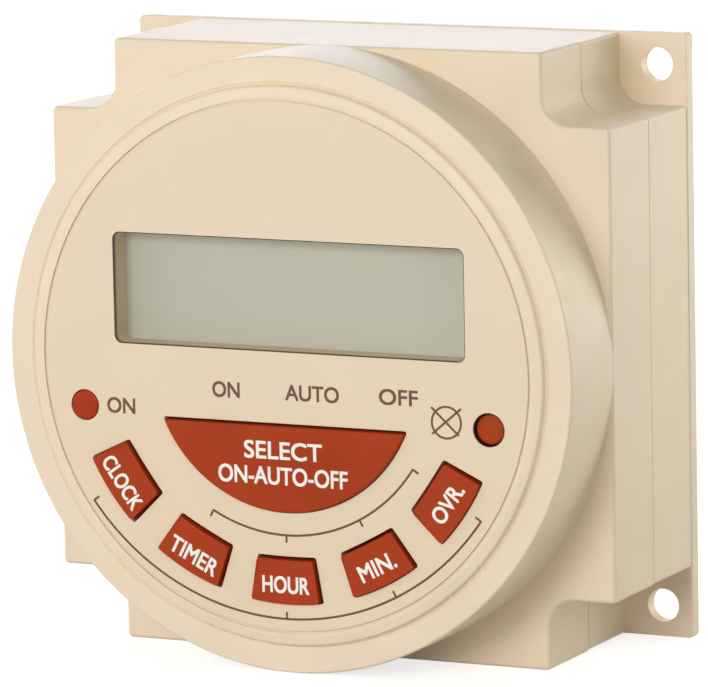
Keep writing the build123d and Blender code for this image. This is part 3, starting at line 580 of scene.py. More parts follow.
# %% Rear housing, inside
GROOVE_WIDE, GROOVE_LONG, TONGUE_PLAY = 0.95, 1.75, 0.15
cut(rear_housing, notched_block("room", WALL, WALL, SEAM + PAST))
add(rear_housing, *four_rods(*SCREWS, BOSS_R, WALL - BITE, SEAM, 48))
groove = notched_block("groove", WALL - GROOVE_WIDE, SEAM - GROOVE_LONG, SEAM + PAST)
cut(groove, notched_block("kept", WALL + TONGUE_PLAY, SEAM - 3 * PAST, SEAM + 2 * PAST))
cut(rear_housing, groove)

# %% Rear housing, terminal well
WELL_Z = -22.2
WELL_W, WELL_H = 50.0, 11.6
WELL_DEPTH, WELL_WALL = 9.0, 1.6
TERMINALS = [-20.0, -10.0, 0.0, 10.0, 20.0]
SLOT_X, SLOT_Z = 3.325, 0.55
SLOT_FRONT = 12
half_w, half_h = WELL_W / 2, WELL_H / 2
well_box = block(
    "well_box",
    (-half_w - WELL_WALL, WALL - BITE, WELL_Z - half_h - WELL_WALL),
    (half_w + WELL_WALL, WELL_DEPTH + WELL_WALL, WELL_Z + half_h + WELL_WALL),
)
add(rear_housing, well_box)
well = block("well", (-half_w, -PAST, WELL_Z - half_h), (half_w, WELL_DEPTH, WELL_Z + half_h))
round_edges(well, runs_forward, 0.8, segments=5)
cut(rear_housing, well)
low, high = (WELL_DEPTH - PAST, WELL_Z - SLOT_Z), (SLOT_FRONT, WELL_Z + SLOT_Z)
slots = [block("slot", (x - SLOT_X, *low), (x + SLOT_X, *high)) for x in TERMINALS]
cut(rear_housing, *slots)
print("terminal slots", len(slots))

# %% [markdown]
# The holes come last, because a hole cut before its boss is filled again. The counterbores keep
# the screw heads below the back, so that the timer lies flat on its panel.

# %% Rear housing, posts and holes
POSTS = (29.5, 22.0)
POST_R, PILOT_R, PILOT_DEEP = 2.4, 1.03, 4.65
BOARD_BACK = 11.0
MOUNTS = (34.13, 34.13)
HOLE_R = 2.1
SHANK_HOLE_R, SINK_R, SINK_DEEP = 1.6, 2.75, 2.6
add(rear_housing, *four_rods(*POSTS, POST_R, WALL - BITE, BOARD_BACK, 48))
pilots = four_rods(*POSTS, PILOT_R, BOARD_BACK - PILOT_DEEP, BOARD_BACK + PAST, 24)
cut(rear_housing, *pilots, *four_rods(*MOUNTS, HOLE_R, -PAST, EAR + PAST, 64))
cut(rear_housing, *four_rods(*SCREWS, SHANK_HOLE_R, -PAST, SEAM + PAST, 32))
cut(rear_housing, *four_rods(*SCREWS, SINK_R, -PAST, SINK_DEEP, 48))
finish_piece(rear_housing, housing_plastic, "case", "housing", "rear_housing", angle=20)

# %% [markdown]
# ## Bars with the outlines of the keys
# The wide key is a segment of a circle and the five others are pieces of a ring. A bar of the
# key's outline makes both the key and the cutter for its opening. The inner side of an arc key is
# nearly straight, so `arc_bar` can take the bow out of that side.

# %% Outlines of the keys
SELECT_R = 18.0
CHORD_Z = -6.9
ARC_INNER, ARC_OUTER = 23.6, 29.4
ARC_R = (ARC_INNER + ARC_OUTER) / 2
ARC_HALF = 19.3 / 2
ARC_PITCH = 27.6
KEY_CORNER = 0.65
KEY_BOW = 0.3
ARC_ANGLES = {
    name: -90 + ARC_PITCH * (i - 2)
    for i, name in enumerate(["clock", "timer", "hour", "minute", "override"])
}


def segment_bar(name, radius, chord, back, front):
    """A bar with the outline of a disc below a level chord."""
    piece = rod(name, 0, 0, radius, back, front, sides=256)
    with editing(piece):
        bpy.ops.mesh.select_all(action="SELECT")
        bpy.ops.mesh.bisect(
            plane_co=place(0, 0, chord), plane_no=(0, 0, 1), use_fill=True, clear_outer=True
        )
    tip = pi / 2 - asin(-chord / radius)
    tip_edges = lambda a, b: runs_forward(a, b) and near(a[2], chord)
    round_edges(piece, tip_edges, KEY_CORNER / tan(tip / 2), segments=6)
    return piece


def arc_bar(name, angle, inner, outer, low, high, back, front, corner=0.0, steps=24, bow=1.0):
    """A bar with the outline of a piece of a ring. bow is what stays of the inner side's curve."""
    bpy.ops.mesh.primitive_plane_add(
        size=1, location=place((inner + outer) / 2, (back + front) / 2, 0)
    )
    bpy.context.object.scale = ((outer - inner) * MM, (front - back) * MM, 1)
    piece = settle(name)
    half = radians(high - low) / 2
    with editing(piece):
        sweep(steps, 2 * half, (0, 0, 0))
    piece.rotation_euler = (0, half, 0)
    settle(name)
    if bow < 1:
        with editing(piece):
            end = inner * cos(half)
            choose("VERT", lambda vertex: near(hypot(vertex.co.x, vertex.co.z) / MM, inner))
            bpy.ops.transform.resize(value=(bow, 1, 1), center_override=place(end, 0, 0))
    if corner:
        at_corner = lambda a, b: runs_forward(a, b) and any(
            near(a[0], r * cos(half)) and near(abs(a[2]), r * sin(half)) for r in (inner, outer)
        )
        round_edges(piece, at_corner, corner, segments=5)
    piece.rotation_euler = (0, -radians(angle + (low + high) / 2), 0)
    return settle(name)


print("arc keys at", {name: round(angle, 1) for name, angle in ARC_ANGLES.items()})

# %% [markdown]
# ## The face plate
# The face is a thin round plate that drops into the collar. It has the window for the display, a
# segment-shaped opening for the wide key, five openings on an arc and two small round holes. The
# plate is turned, with a step at its edge that leaves a fine groove inside the collar. Behind it
# stand a frame for the display and four posts for the control board.

# %% Face plate, body
PLATE_R, SKIRT_R = 32.72, 33.018
GROOVE = 0.3
WINDOW_X, WINDOW_Z = 0.7, 8.85
WINDOW_W, WINDOW_H = 47.6, 13.9
WINDOW_FLOOR = 35.65
BEZEL = 1.3


def window_bar(name, inset, back, front, corner):
    """A bar with the window's outline, drawn in by the inset."""
    bar = block(
        name,
        (WINDOW_X - WINDOW_W / 2 + inset, back, WINDOW_Z - WINDOW_H / 2 + inset),
        (WINDOW_X + WINDOW_W / 2 - inset, front, WINDOW_Z + WINDOW_H / 2 - inset),
    )
    round_edges(bar, runs_forward, corner, segments=6)
    return bar


profile = stepped(PLATE_BACK, (SKIRT_R, FACE - GROOVE), (PLATE_R, FACE))
face_plate = turn("face_disc", profile, {4: 0.12})
add(face_plate, window_bar("bezel", -BEZEL, WINDOW_FLOOR, PLATE_BACK + BITE, 2.3))

# %% Face plate, posts
UPPER_R, UPPER_TURN = 29.0, radians(57.7)
LOWER_R, LOWER_TURN = 20.8, radians(1.5 * ARC_PITCH)
FEET, PILOT_END = 30.0, 34.65
plate_posts = [
    (side * x, z, radius)
    for x, z, radius in (
        (UPPER_R * cos(UPPER_TURN), UPPER_R * sin(UPPER_TURN), 1.8),
        (LOWER_R * sin(LOWER_TURN), -LOWER_R * cos(LOWER_TURN), 1.5),
    )
    for side in (-1, 1)
]
add(face_plate, *[rod("post", *post, FEET, PLATE_BACK + BITE, 48) for post in plate_posts])
print("posts", len(plate_posts))

# %% [markdown]
# The openings are cut through the plate and its frame in one go, each with a bar of its outline.

# %% Face plate, openings
LAMP_X, LAMP_Z = 27.45, -6.1
LENS_HOLE_R, RESET_HOLE_R = 1.95, 2.1
CUT_BACK, CUT_FRONT = 35.8, 41
cutters = [
    window_bar("window", 0, 34, CUT_FRONT, 1.0),
    segment_bar("cutter", SELECT_R, CHORD_Z, CUT_BACK, CUT_FRONT),
    rod("cutter", -LAMP_X, LAMP_Z, LENS_HOLE_R, CUT_BACK, CUT_FRONT),
    rod("cutter", LAMP_X, LAMP_Z, RESET_HOLE_R, CUT_BACK, CUT_FRONT),
]
outline = (ARC_INNER, ARC_OUTER, -ARC_HALF, ARC_HALF, CUT_BACK, CUT_FRONT, KEY_CORNER)
cutters += [arc_bar("cutter", angle, *outline, bow=KEY_BOW) for angle in ARC_ANGLES.values()]
cut(face_plate, *cutters)
pilots = [rod("pilot", x, z, PILOT_R, FEET - PAST, PILOT_END, 24) for x, z, _ in plate_posts]
cut(face_plate, *pilots)
finish_piece(face_plate, face_plastic, "case", "face", "face_plate")

# %% [markdown]
# ## The wide key
# The keys are rust red mouldings that stand half a millimetre proud of the face. Each has a flange
# behind the plate, which keeps it from falling out, and a stem that presses its switch. The wide
# key also has two guide pins, so that it does not tip when it is pressed at one end.

# %% Wide key
KEY_TOP = 39.435
KEY_EDGE = 0.3
CAP_BACK = 36.4
FLANGE_BACK, FLANGE_FRONT = 35.85, 36.85
FLANGE = 0.6
STEM_BACK, STEM_R = 34.3, 1.3
GAP, SLACK = 0.12, 0.3
PIN_X, PIN_Z, PIN_R, PIN_BACK = 10.5, -9.6, 0.9, 28.9
select_key = segment_bar("select_cap", SELECT_R - GAP, CHORD_Z - GAP - SLACK, CAP_BACK, KEY_TOP)
round_edges(select_key, at_depth(KEY_TOP), KEY_EDGE, segments=4)
flange = segment_bar("flange", SELECT_R + FLANGE, CHORD_Z + FLANGE, FLANGE_BACK, FLANGE_FRONT)
add(select_key, flange)
stem = rod("stem", 0, (CHORD_Z - SELECT_R) / 2, STEM_R, STEM_BACK, FLANGE_BACK + BITE, 48)
pins = [rod("pin", x, PIN_Z, PIN_R, PIN_BACK, FLANGE_BACK + BITE, 32) for x in (-PIN_X, PIN_X)]
add(select_key, stem, *pins)
finish_piece(select_key, key_plastic, "select_body", "keys", "select_key")

# %% [markdown]
# ## The five keys on the arc
# One key is modelled on the right of the middle axis, then copied five times and turned to its
# place. The gap is a little wider on one side of each key, as the photograph shows.

# %% Arc keys
narrow, wide = (degrees(width / ARC_R) for width in (GAP, GAP + SLACK))
outline = (ARC_INNER + GAP + SLACK, ARC_OUTER - GAP, narrow - ARC_HALF, ARC_HALF - wide)
cap = arc_bar("cap", 0, *outline, CAP_BACK, KEY_TOP, KEY_CORNER, bow=KEY_BOW)
round_edges(cap, at_depth(KEY_TOP), KEY_EDGE, segments=4)
reach = ARC_HALF + degrees(FLANGE / ARC_R)
outline = (ARC_INNER - FLANGE, ARC_OUTER + FLANGE, -reach, reach)
add(cap, arc_bar("flange", 0, *outline, FLANGE_BACK, FLANGE_FRONT))
add(cap, rod("stem", ARC_R, 0, STEM_R, STEM_BACK, FLANGE_BACK + BITE, 48))
for key, angle in ARC_ANGLES.items():
    select_only(cap)
    bpy.ops.object.duplicate()
    bpy.context.object.rotation_euler = (0, -radians(angle), 0)
    finish_piece(settle(f"{key}_cap"), key_plastic, f"{key}_body", "keys", f"{key}_key")
bpy.data.objects.remove(cap)

# %% [markdown]
# ## Reset button and indicator
# The reset button lies half a millimetre below the face, so that a sleeve does not press it. The
# indicator is a short light pipe of tinted clear plastic, flush with the face, with the lamp close
# behind it. Its colour comes from light that passes through, so its finish is partly clear.

# %% Reset button
RESET_TOP, RESET_R, RESET_FLANGE_R = 38.45, 1.9, 2.6
steps = (STEM_R, FLANGE_BACK), (RESET_FLANGE_R, FLANGE_FRONT), (RESET_R, RESET_TOP)
profile = stepped(STEM_BACK, *steps)
reset_cap = turn("reset_cap", profile, {6: KEY_EDGE}, steps=72, centre=(LAMP_X, LAMP_Z))
finish_piece(reset_cap, reset_plastic, "reset_body", "reset_button", "reset_button")

# %% Indicator lens
LENS_BACK, LENS_R, LENS_FLANGE_R = 36.15, 1.85, 2.5
colour = paint(180, 56, 8)
finish = new_material(
    "tinted_lens", colour, 0.16, Transmission_Weight=0.12, IOR=1.49, Specular_IOR_Level=0.12
)
vary_colour(finish, colour, 0.9, 1.08, 1.2, 3.0)
vary_polish(finish, 0.22, 0.36, 0.4, 3.0)
add_bump(finish, add_noise(finish, 0.9, 2.0), 0.006)
profile = stepped(LENS_BACK, (LENS_FLANGE_R, PLATE_BACK), (LENS_R, FACE))
lens = turn("lens", profile, {4: KEY_EDGE}, steps=72, centre=(-LAMP_X, LAMP_Z))
finish_piece(lens, finish, "case", "lens", "indicator_lens")

# %% [markdown]
# ## The blank display
# With the power off, a reflective liquid crystal display is an even grey-green. What shows is the
# front polarizing film, which has a fine matt grain against glare. It is a separate sheet on the
# glass, with its edges under the bezel.

# %% Display film
colour = paint(186, 184, 170)
finish = new_material("display_film", colour, 0.3)
vary_colour(finish, colour, 0.985, 1.015, 14.0, 1.0)
vary_polish(finish, 0.3, 0.34, 6.0, 1.0)
add_bump(finish, add_noise(finish, 0.12, 1.0), 0.0006)
FILM_LOW, FILM_HIGH = (-24.0, 35.4, 1.0), (25.4, WINDOW_FLOOR, 16.7)
film = block("film", FILM_LOW, FILM_HIGH)
round_edges(film, runs_forward, 0.4)
round_edges(film, at_depth(WINDOW_FLOOR), 0.05, segments=1)
finish_piece(film, finish, "case", "display_film", "lcd_front_polarizer")

# %% [markdown]
# ## The lining of the window
# The window has a thin lining, a gasket that keeps dust off the display. Its own colour is pale
# taupe, and painted shade darkens it to dark brown at the face, so its colour follows the depth. It
# is a frame cut from a block, a tenth of a millimetre thick. The hole of the reset button has a
# ring of painted shade, dark all the way in, which stands for the shadowed gap beside that button.

# %% Window lining
LINING_FRONT, LINING_THICK = 38.86, 0.12
PAINTED_SHADE_DEPTH = 0.7
# dark is painted shade at the face of the lining, and taupe is the lining's own colour.
dark, taupe = paint(72, 60, 44), paint(208, 192, 166)
gasket = new_material("gasket", taupe, 0.6, Specular_IOR_Level=0.3)
axes = add_node(gasket, "ShaderNodeSeparateXYZ")
wire(object_place(gasket), axes.inputs["Vector"])
front, fade = -LINING_FRONT * MM, -(LINING_FRONT - PAINTED_SHADE_DEPTH) * MM
# The painted shade fades from dark at the face to taupe over PAINTED_SHADE_DEPTH.
painted_shade_mask = spread(gasket, axes.outputs["Y"], 0, 1, front, fade)
set_colour(gasket, blend_colours(gasket, painted_shade_mask, dark, taupe))
vary_polish(gasket, 0.52, 0.68, 0.5, 3.0)
add_bump(gasket, add_noise(gasket, 0.2, 2.0), 0.006)
lining = window_bar("lining", 0.01, WINDOW_FLOOR + 0.01, LINING_FRONT, 0.98)
cut(lining, window_bar("inner", LINING_THICK, WINDOW_FLOOR - PAST, 40, 0.9))
finish_piece(lining, gasket, "case", "face")

# %% Ring of painted shade in the reset hole
RING_BACK, RING_INNER, RING_OUTER = 37.2, 1.97, 2.09


def ring(name, inner, outer, back, front, centre):
    """A flat ring, turned from a closed profile."""
    corners = [(inner, back), (outer, back), (outer, front), (inner, front), (inner, back)]
    return turn(name, corners, steps=64, centre=centre)


# This ring is painted shade: a near-black part that stands for the shadowed gap around the reset
# button.
reset_hole_shade = ring(
    "reset_hole_shade", RING_INNER, RING_OUTER, RING_BACK, LINING_FRONT, (LAMP_X, LAMP_Z)
)
# The ring's near-black colour is painted shade.
painted_gap_shade = moulded("painted_gap_shade", paint(46, 28, 18), 0.6, grain=0.1, shine=0.2)
finish_piece(reset_hole_shade, painted_gap_shade, "case", "face")

# %% [markdown]
# ## Lettering
# The words on the face are screen printed in brown, and those on the keys in white. A letter is
# started as a text object and made a mesh at once, fitted to a width and a height, and laid on its
# surface as a film of ink a few hundredths of a millimetre thick. Every word is struck four times
# a little apart, as an old typewriter makes a word bold. Each strike lies a hair lower than the
# last, so no two faces meet.

# %% Lettering helper
STRIKE_STEP = 0.002


def lettering(words, centre, width, height, back, front, weight, angle=0):
    """Words as a thin mesh, centred on a place of the face and turned by an angle."""
    bpy.ops.object.text_add()
    text = bpy.context.object.data
    text.body, text.extrude, text.resolution_u = words, 0.5, 6
    bpy.ops.object.convert(target="MESH")
    piece = bpy.context.object
    with editing(piece):
        bpy.ops.mesh.select_all(action="SELECT")
        bpy.ops.mesh.remove_doubles(threshold=0.0001)
        axes = zip(*[vertex.co for vertex in bmesh.from_edit_mesh(piece.data).verts])
        spans = [(min(axis), max(axis)) for axis in axes]
        bpy.ops.transform.translate(value=[-(low + high) / 2 for low, high in spans])
    wanted = (width - 2 * weight, height - 2 * weight, front - back)
    piece.scale = [size * MM / (high - low) for size, (low, high) in zip(wanted, spans)]
    moves = [
        Vector((x, y, -count * STRIKE_STEP)) * MM
        for count, (x, y) in enumerate(both_ways(weight, weight))
    ]
    word = joined(copies(settle("word"), moves), "word")
    word.rotation_euler = (pi / 2, -radians(angle), 0)
    word.location = place(centre[0], (back + front) / 2, centre[1])
    return settle("word")


print("each strike lies", STRIKE_STEP, "mm lower")

# %% [markdown]
# ## The print on the face
# Brown ink on cream: the words at the lamp and over the wide key, two brackets that join keys that
# work together, and a plain crossed circle by the reset button. The top of the face is left bare.

# %% Words on the face
PRINT_BACK, PRINT_FRONT = FACE - 0.01, FACE + 0.02
face_words = [
    ("ON", (-22.4, -5.9), 3.9), ("ON", (-7.85, -3.1), 3.75),
    ("AUTO", (3.87, -3.0), 7.3), ("OFF", (15.5, -2.8), 5.2),
]
prints = [lettering(*word, 2.0, PRINT_BACK, PRINT_FRONT, 0.045) for word in face_words]
print("words", len(prints))

# %% Brackets and the crossed circle
LINE = 0.28
MARK = (21.85, -5.5)


def stroke(x1, z1, x2, z2):
    """A straight printed line between two places, the second to the right of the first."""
    length = hypot(x2 - x1, z2 - z1)
    bar = block("stroke", (-length / 2, PRINT_BACK, -LINE / 2), (length / 2, PRINT_FRONT, LINE / 2))
    bar.rotation_euler = (0, asin((z1 - z2) / length), 0)
    bar.location = place((x1 + x2) / 2, 0, (z1 + z2) / 2)
    return settle("stroke")


def bracket(radius, low, high, ticks, tick_to, centre=(0, 0)):
    """An arc with short strokes across from it at some angles."""
    layer = (PRINT_BACK, PRINT_FRONT)
    arc = arc_bar("arc", 0, radius - LINE / 2, radius + LINE / 2, low, high, *layer, steps=72)
    inner, outer = sorted((radius, tick_to))
    half = degrees(LINE / 2 / radius)
    bars = [arc_bar("tick", angle, inner, outer, -half, half, *layer, steps=2) for angle in ticks]
    add(arc, *bars)
    arc.location = place(centre[0], 0, centre[1])
    return settle("bracket")


prints.append(bracket(20.75, -118.8, -33.5, [-118.6, -90, -61.3, -33.7], 21.65))
prints.append(bracket(32.49, -143.7, -34.8, [-143.5, -89.6, -62.3, -35.0], 31.6, (-0.39, 1.29)))
mark = ring("mark", 1.8, 2.07, PRINT_BACK, PRINT_FRONT, MARK)
add(mark, stroke(19.84, -3.69, 23.49, -7.03))
add(mark, stroke(19.91, -6.99, 23.82, -3.71))
prints.append(mark)
brown_ink = moulded("brown_ink", paint(104, 58, 44), 0.42, grain=0.08, height=0.001, drift=0.08)
finish_piece(joined(prints, "face_print"), brown_ink, "case", "face")

# %% [markdown]
# ## The print on the keys
# White ink on rust red, in a bold narrow face. Each label rides on its key and goes in with it.

# %% Words on the keys
INK_BACK, INK_TOP = KEY_TOP - 0.005, 39.449
BOLD = 0.055
white_ink = moulded("white_ink", paint(246, 243, 238), 0.45, grain=0.08, height=0.001, drift=0.02)


def key_label(key, rows, angle=0):
    """The rows of white words on one key, as one piece that rides on the key's body."""
    parts = [lettering(*row, INK_BACK, INK_TOP, BOLD, angle) for row in rows]
    finish_piece(joined(parts, f"{key}_label"), white_ink, f"{key}_body", "keys")


key_label(
    "select", [("SELECT", (0, -10.2), 10.6, 2.25), ("ON-AUTO-OFF", (-0.1, -13.35), 17.6, 2.25)]
)
arc_words = [
    ("CLOCK", 7.3, 0.6), ("TIMER", 7.0, 0.6),
    ("HOUR", 6.4, 0.35), ("MIN.", 5.3, 0.35), ("OVR.", 5.5, 0.35),
]
for (key, angle), (words, width, outward) in zip(ARC_ANGLES.items(), arc_words):
    radius = ARC_R + outward
    centre = (radius * cos(radians(angle)), radius * sin(radians(angle)))
    key_label(key, [(words, centre, width, 2.15)], angle + 90)

# %% [markdown]
# ## Metal, clear and banded finishes
# The parts behind the face are carried over from the CAD model, and need finishes more than
# shapes. Metal is bright where it is rolled or plated: fine lines along one direction change its
# polish, and a slow noise stands for tarnish. Clear parts let light through. Bands stand for the
# layers of a rubber connector, the turns of a coil and the rings on a resistor.

# %% Metal, clear and banded finishes
ALONG_X, ALONG_DEPTH = (1, 14, 14), (14, 1, 14)


def metal(name, colour, roughness, stretch=ALONG_X):
    """Bare or plated metal with drawn lines and a little tarnish."""
    finish = new_material(name, colour, roughness, Metallic=1.0)
    vary_colour(finish, colour, 0.88, 1.04, 2.2, 4.0)
    lines = vary_polish(finish, roughness - 0.06, roughness + 0.1, 0.5, 3.0, stretch)
    add_bump(finish, lines, 0.0025)


def clear(name, colour, roughness, transmission):
    """Glass or clear resin."""
    finish = new_material(name, colour, roughness, Transmission_Weight=transmission, IOR=1.5)
    vary_polish(finish, roughness, roughness + 0.06, 1.5, 3.0)
    add_bump(finish, add_noise(finish, 2.5, 2.0), 0.003)


def banded(name, first, second, width, roughness, metallic=0.0, height=0.0, sharp=0.5):
    """Even bands across the left-right axis, raised where a height is given."""
    finish = new_material(name, first, roughness, Metallic=metallic)
    wave = add_node(finish, "ShaderNodeTexWave", Scale=tau / (20 * width * MM), Distortion=0.15)
    wave.bands_direction = "X"
    wire(object_place(finish), wave.inputs["Vector"])
    bands = spread(finish, wave.outputs["Fac"], 0, 1, 0.5 - sharp / 2, 0.5 + sharp / 2)
    set_colour(finish, blend_colours(finish, bands, first, second))
    vary_polish(finish, roughness - 0.05, roughness + 0.08, 0.8, 3.0)
    relief = wave.outputs["Fac"] if height else add_noise(finish, 0.2)
    add_bump(finish, relief, height or 0.002)


# %% [markdown]
# ## The circuit boards
# A board is glass fibre under green solder resist. The copper under the resist shows as lighter
# paths with straight runs, and the resist itself is glossy with a slight orange peel. A brick
# texture with wide gaps gives the runs without drawing a real circuit.

# %% Circuit board finish
bare, copper = paint(20, 74, 42), paint(44, 112, 60)
board = new_material("circuit_board", bare, 0.28, Coat_Weight=0.5, Coat_Roughness=0.1)
turned = add_node(board, "ShaderNodeMapping", Rotation=(pi / 2, 0, 0))
wire(object_place(board), turned.inputs["Vector"])
bricks = add_node(board, "ShaderNodeTexBrick", Scale=1 / (5.2 * MM), Mortar_Size=0.07)
set_inputs(bricks, Color1=bare, Color2=bare, Mortar=copper)
wire(turned.outputs["Vector"], bricks.inputs["Vector"])
set_colour(board, bricks.outputs["Color"])
runs = add_bump(board, bricks.outputs["Fac"], 0.02)
add_bump(board, add_noise(board, 0.7, 2.0), 0.006, under=runs)
vary_polish(board, 0.24, 0.36, 1.6, 3.0)
print(board.name, "nodes", len(board.node_tree.nodes))

# %% [markdown]
# ## A finish for every slot
# The CAD record names a material slot for each part. Here each slot of the inner parts gets one
# finish, under the slot's own name, with the colour that such a part usually has.

# %% Finishes of the inner parts
clear("display_glass", paint(226, 236, 228), 0.03, 0.9)
clear("lamp_resin", paint(196, 40, 30), 0.1, 0.6)
metal("display_reflector", paint(214, 214, 208), 0.34)
metal("steel", paint(198, 200, 202), 0.26)
metal("contact_spring", paint(212, 184, 134), 0.24)
metal("terminal_brass", paint(214, 186, 118), 0.28, ALONG_DEPTH)
metal("gold_pins", paint(226, 188, 104), 0.2)
metal("soft_iron", paint(176, 178, 180), 0.36)
banded("connector_rubber", paint(188, 120, 104), paint(58, 50, 50), 0.18, 0.62)
banded("copper_wire", paint(196, 112, 62), paint(132, 62, 30), 0.12, 0.3, 0.9, 0.03)
banded("resistor_resin", paint(206, 184, 146), paint(122, 66, 44), 2.4, 0.34, sharp=0.06)
moulded("display_holder", paint(226, 222, 210))
moulded("switch_body", paint(34, 34, 35))
moulded("plungers", paint(42, 42, 44), 0.44)
moulded("chip_resin", paint(36, 36, 38), 0.58, grain=0.08)
moulded("ceramic", paint(172, 146, 112), grain=0.1)
moulded("connector_body", paint(38, 38, 40), 0.46)
moulded("relay_case", paint(40, 74, 132), 0.34, coat=0.2)
moulded("relay_plastic", paint(42, 42, 44))
moulded("bobbin", paint(228, 222, 206))
moulded("film_capacitor", paint(226, 172, 44), 0.34, coat=0.2)
moulded("capacitor_sleeve", paint(34, 44, 62), 0.26, coat=0.5)
moulded("varistor_resin", paint(38, 88, 160), 0.3, coat=0.4)
moulded("diode_resin", paint(34, 34, 35), 0.34)
print("finishes", len(finishes))

# %% [markdown]
# ## Screws in the back
# Four screws come in from behind. Their pan heads are turned, and the cross recess is cut by two
# crossed bars. The thread is a stack of turned ridges, enough for a part that sits in a boss.

# %% Case screws
HEAD_BACK, HEAD_FRONT, HEAD_R = 0.8, 2.6, 2.6
SHANK_R, SHANK_END = 1.45, 22.0
SMOOTH, PITCH, THREAD_DEPTH, TIP = 2.0, 0.8, 0.3, 0.4
CROSS_LONG, CROSS_WIDE, CROSS_DEPTH = 1.7, 0.35, 0.7
profile = [(0, HEAD_BACK), (HEAD_R, HEAD_BACK), (HEAD_R, HEAD_FRONT), (SHANK_R, HEAD_FRONT)]
depth = HEAD_FRONT + SMOOTH
while depth + PITCH < SHANK_END:
    profile += [(SHANK_R, depth), (SHANK_R - THREAD_DEPTH, depth + PITCH / 2)]
    depth += PITCH
profile += [(SHANK_R, SHANK_END - TIP), (SHANK_R - TIP, SHANK_END), (0, SHANK_END)]
screw = turn("screw", profile, {1: 0.6}, steps=48)
recess, bar = (
    block("recess", (-wide, 0, -high), (wide, HEAD_BACK + CROSS_DEPTH, high))
    for wide, high in ((CROSS_LONG, CROSS_WIDE), (CROSS_WIDE, CROSS_LONG))
)
add(recess, bar)
cut(screw, recess)
screws = copies(screw, [place(x, 0, z) for x, z in both_ways(*SCREWS)])
screws = joined(screws, "case_screws")
finish_piece(screws, finishes["steel"], "case", "steel", "housing_screws")

# %% [markdown]
# ## Terminals in the well
# The five blade terminals are the standard 6.35 mm tab: the tip has cut corners and a lead-in, so
# that a push-on connector slides over it, and a hole that the connector's dimple drops into. Two
# legs go through the board.

# %% Blade terminals
BLADE_TIP, BLADE_HALF, BLADE_THICK = 1.0, 3.175, 0.8
DIMPLE_R, DIMPLE_AT = 0.85, 5.1
LEG_X, LEG_HALF, LEG_BITE, LEG_END = 2.1, 0.7, 0.2, 13.4
flat = BLADE_THICK / 2
blade = block("blade", (-BLADE_HALF, BLADE_TIP, -flat), (BLADE_HALF, BOARD_BACK, flat))
at_tip = at_depth(BLADE_TIP)
round_edges(blade, lambda a, b: at_tip(a, b) and near(a[0], b[0]), 1.0, segments=1)
round_edges(blade, lambda a, b: at_tip(a, b) and near(a[2], b[2]), 0.22, segments=2)
bpy.ops.mesh.primitive_cylinder_add(
    vertices=48, radius=DIMPLE_R * MM, depth=4 * PAST * MM, location=place(0, DIMPLE_AT, 0)
)
cut(blade, settle("dimple_hole"))
low, high = (BOARD_BACK - LEG_BITE, -flat), (LEG_END, flat)
legs = [block("leg", (x - LEG_HALF, *low), (x + LEG_HALF, *high)) for x in (-LEG_X, LEG_X)]
add(blade, *legs)
blades = joined(copies(blade, [place(x, 0, WELL_Z) for x in TERMINALS]), "blade_terminals")
brass = finishes["terminal_brass"]
finish_piece(blades, brass, "case", "terminal_brass", "terminal_tabs")

# %% [markdown]
# ## Dressing the rest
# Every CAD part that no new piece stands for still shows. Its mesh stays as it is, and it gets the
# finish of its slot.

# %% Dress the carried-over parts
dressed = 0
for part in frame["record"]["subparts"]:
    if part["node"] not in replaced:
        node = frame["nodes"][part["node"]]
        node.data.materials.clear()
        node.data.materials.append(finishes[part["material_slot"]])
        dressed += 1
print("dressed", dressed, "of", len(frame["nodes"]))

# %% [markdown]
# ## The camera
# The photograph was taken from the right and a little above with a long lens, so that the round
# face is an ellipse with hardly any perspective. The place and turn below were fitted to the
# corners, circles and keys of the timer.

# %% Camera
lens_data = bpy.data.cameras.new("camera")
lens_data.lens, lens_data.sensor_width, lens_data.sensor_fit = 327.478, 36, "HORIZONTAL"
lens_data.clip_start, lens_data.clip_end = 0.05, 20
camera = bpy.data.objects.new("camera", lens_data)
bpy.context.collection.objects.link(camera)
camera.location = Vector((345.835, -731.325, 127.634)) * MM
camera.rotation_euler = [radians(angle) for angle in (80.8383, 1.1055, 25.7183)]
bpy.context.scene.camera = camera
print("camera at", [round(v, 3) for v in camera.location])

# %% [markdown]
# ## Floor and world
# The timer stands on a plain white floor, as in a product photograph. The floor and the world show
# white to the camera and to reflections, but they light the timer at a plain level. The floor
# glows a little more far away, so that it meets the white of the world without a line.

# %% Rays that show the backdrop
WHITE = (1, 1, 1, 1)


def white_to_eye(owner):
    """One for camera rays and what mirrors and glass show, zero for light that falls on things."""
    path = add_node(owner, "ShaderNodeLightPath")
    value = path.outputs["Is Camera Ray"]
    for ray in ("Is Glossy Ray", "Is Transmission Ray"):
        larger = add_node(owner, "ShaderNodeMath")
        larger.operation = "MAXIMUM"
        wire(value, larger.inputs[0])
        wire(path.outputs[ray], larger.inputs[1])
        value = larger.outputs["Value"]
    return value


# %% Floor
FLOOR_Z, FLOOR_SIZE = -38.1, 6000
GLOW_NEAR, GLOW_FAR = 0.7, 1.0
GLOW_STARTS, GLOW_ENDS = 0.25, 0.6
bpy.ops.mesh.primitive_plane_add(size=FLOOR_SIZE * MM, location=place(0, 0, FLOOR_Z))
floor = settle("floor")
white = new_material(
    "floor_white", [0.62, 0.62, 0.62, 1], 0.9, Emission_Color=WHITE, Specular_IOR_Level=0.0
)
distance = add_node(white, "ShaderNodeVectorMath")
distance.operation = "LENGTH"
wire(object_place(white), distance.inputs[0])
away = distance.outputs["Value"]
glow = spread(white, away, GLOW_NEAR, GLOW_FAR, GLOW_STARTS, GLOW_ENDS)
lift = add_node(white, "ShaderNodeMath")
lift.operation = "MULTIPLY"
wire(white_to_eye(white), lift.inputs[0])
wire(glow, lift.inputs[1])
wire(lift.outputs["Value"], shader_of(white).inputs["Emission Strength"])
floor.data.materials.append(white)
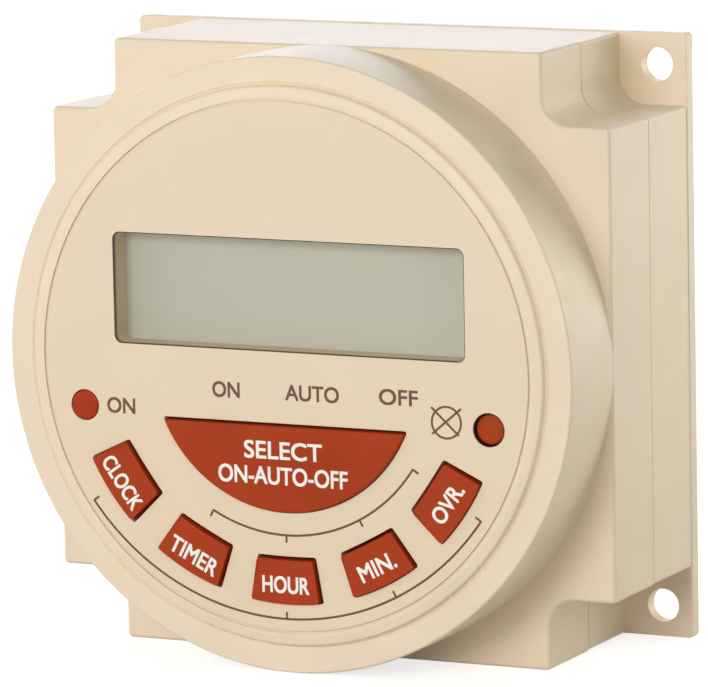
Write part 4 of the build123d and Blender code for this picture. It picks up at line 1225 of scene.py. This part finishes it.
print("floor at", FLOOR_Z, "mm")

# %% World
WORLD_LIGHT = 0.27
WORLD_TINT = (0.88, 1.0, 0.8, 1)
world = bpy.data.worlds.new("studio")
bpy.context.scene.world = world
world.use_nodes = True
background = world.node_tree.nodes["Background"]
seen = white_to_eye(world)
wire(spread(world, seen, WORLD_LIGHT, 1.0, 0.0, 1.0), background.inputs["Strength"])
wire(blend_colours(world, seen, WORLD_TINT, WHITE), background.inputs["Color"])
print("world light", WORLD_LIGHT)

# %% [markdown]
# ## Lamps
# The lamps are large and soft. The key light is in front, so that the face is even and its rings
# hardly show. A lamp close by, to the right and behind, lights the right side more at the back
# than at the drum, and the body's corners throw soft shadows on the drum from it. It is wide
# enough that the mounting holes let no spot of light through onto the notches. A large cool lamp
# behind puts the pale glare on the tops.

# %% Lamps
AIM = place(0, 20, 0)


def softbox(name, spot_at, size, power, colour=(1, 1, 1)):
    """A square area light, so many millimetres away and across, aimed at the timer."""
    data = bpy.data.lights.new(name, "AREA")
    data.shape, data.size, data.energy, data.color = "SQUARE", size * MM, power, colour
    lamp = bpy.data.objects.new(name, data)
    bpy.context.collection.objects.link(lamp)
    lamp.location = place(*spot_at)
    lamp.rotation_euler = (place(*spot_at) - AIM).to_track_quat("Z", "Y").to_euler()
    lamp.visible_camera = False
    print(name, "watts", power)


softbox("key_light", (-60, 900, 250), 420, 4.5, (1.0, 0.97, 0.96))
softbox("left_light", (-700, 350, 60), 400, 1.5)
softbox("top_light", (60, 60, 800), 500, 0.3)
softbox("right_light", (700, 400, 90), 250, 0.5, (1.0, 0.96, 0.88))
softbox("side_light", (240, -290, 60), 280, 0.84, (1.0, 0.96, 0.88))
softbox("back_light", (-380, -800, 280), 600, 3.4, (0.82, 0.82, 1.0))
bpy.context.scene.view_settings.view_transform = "Standard"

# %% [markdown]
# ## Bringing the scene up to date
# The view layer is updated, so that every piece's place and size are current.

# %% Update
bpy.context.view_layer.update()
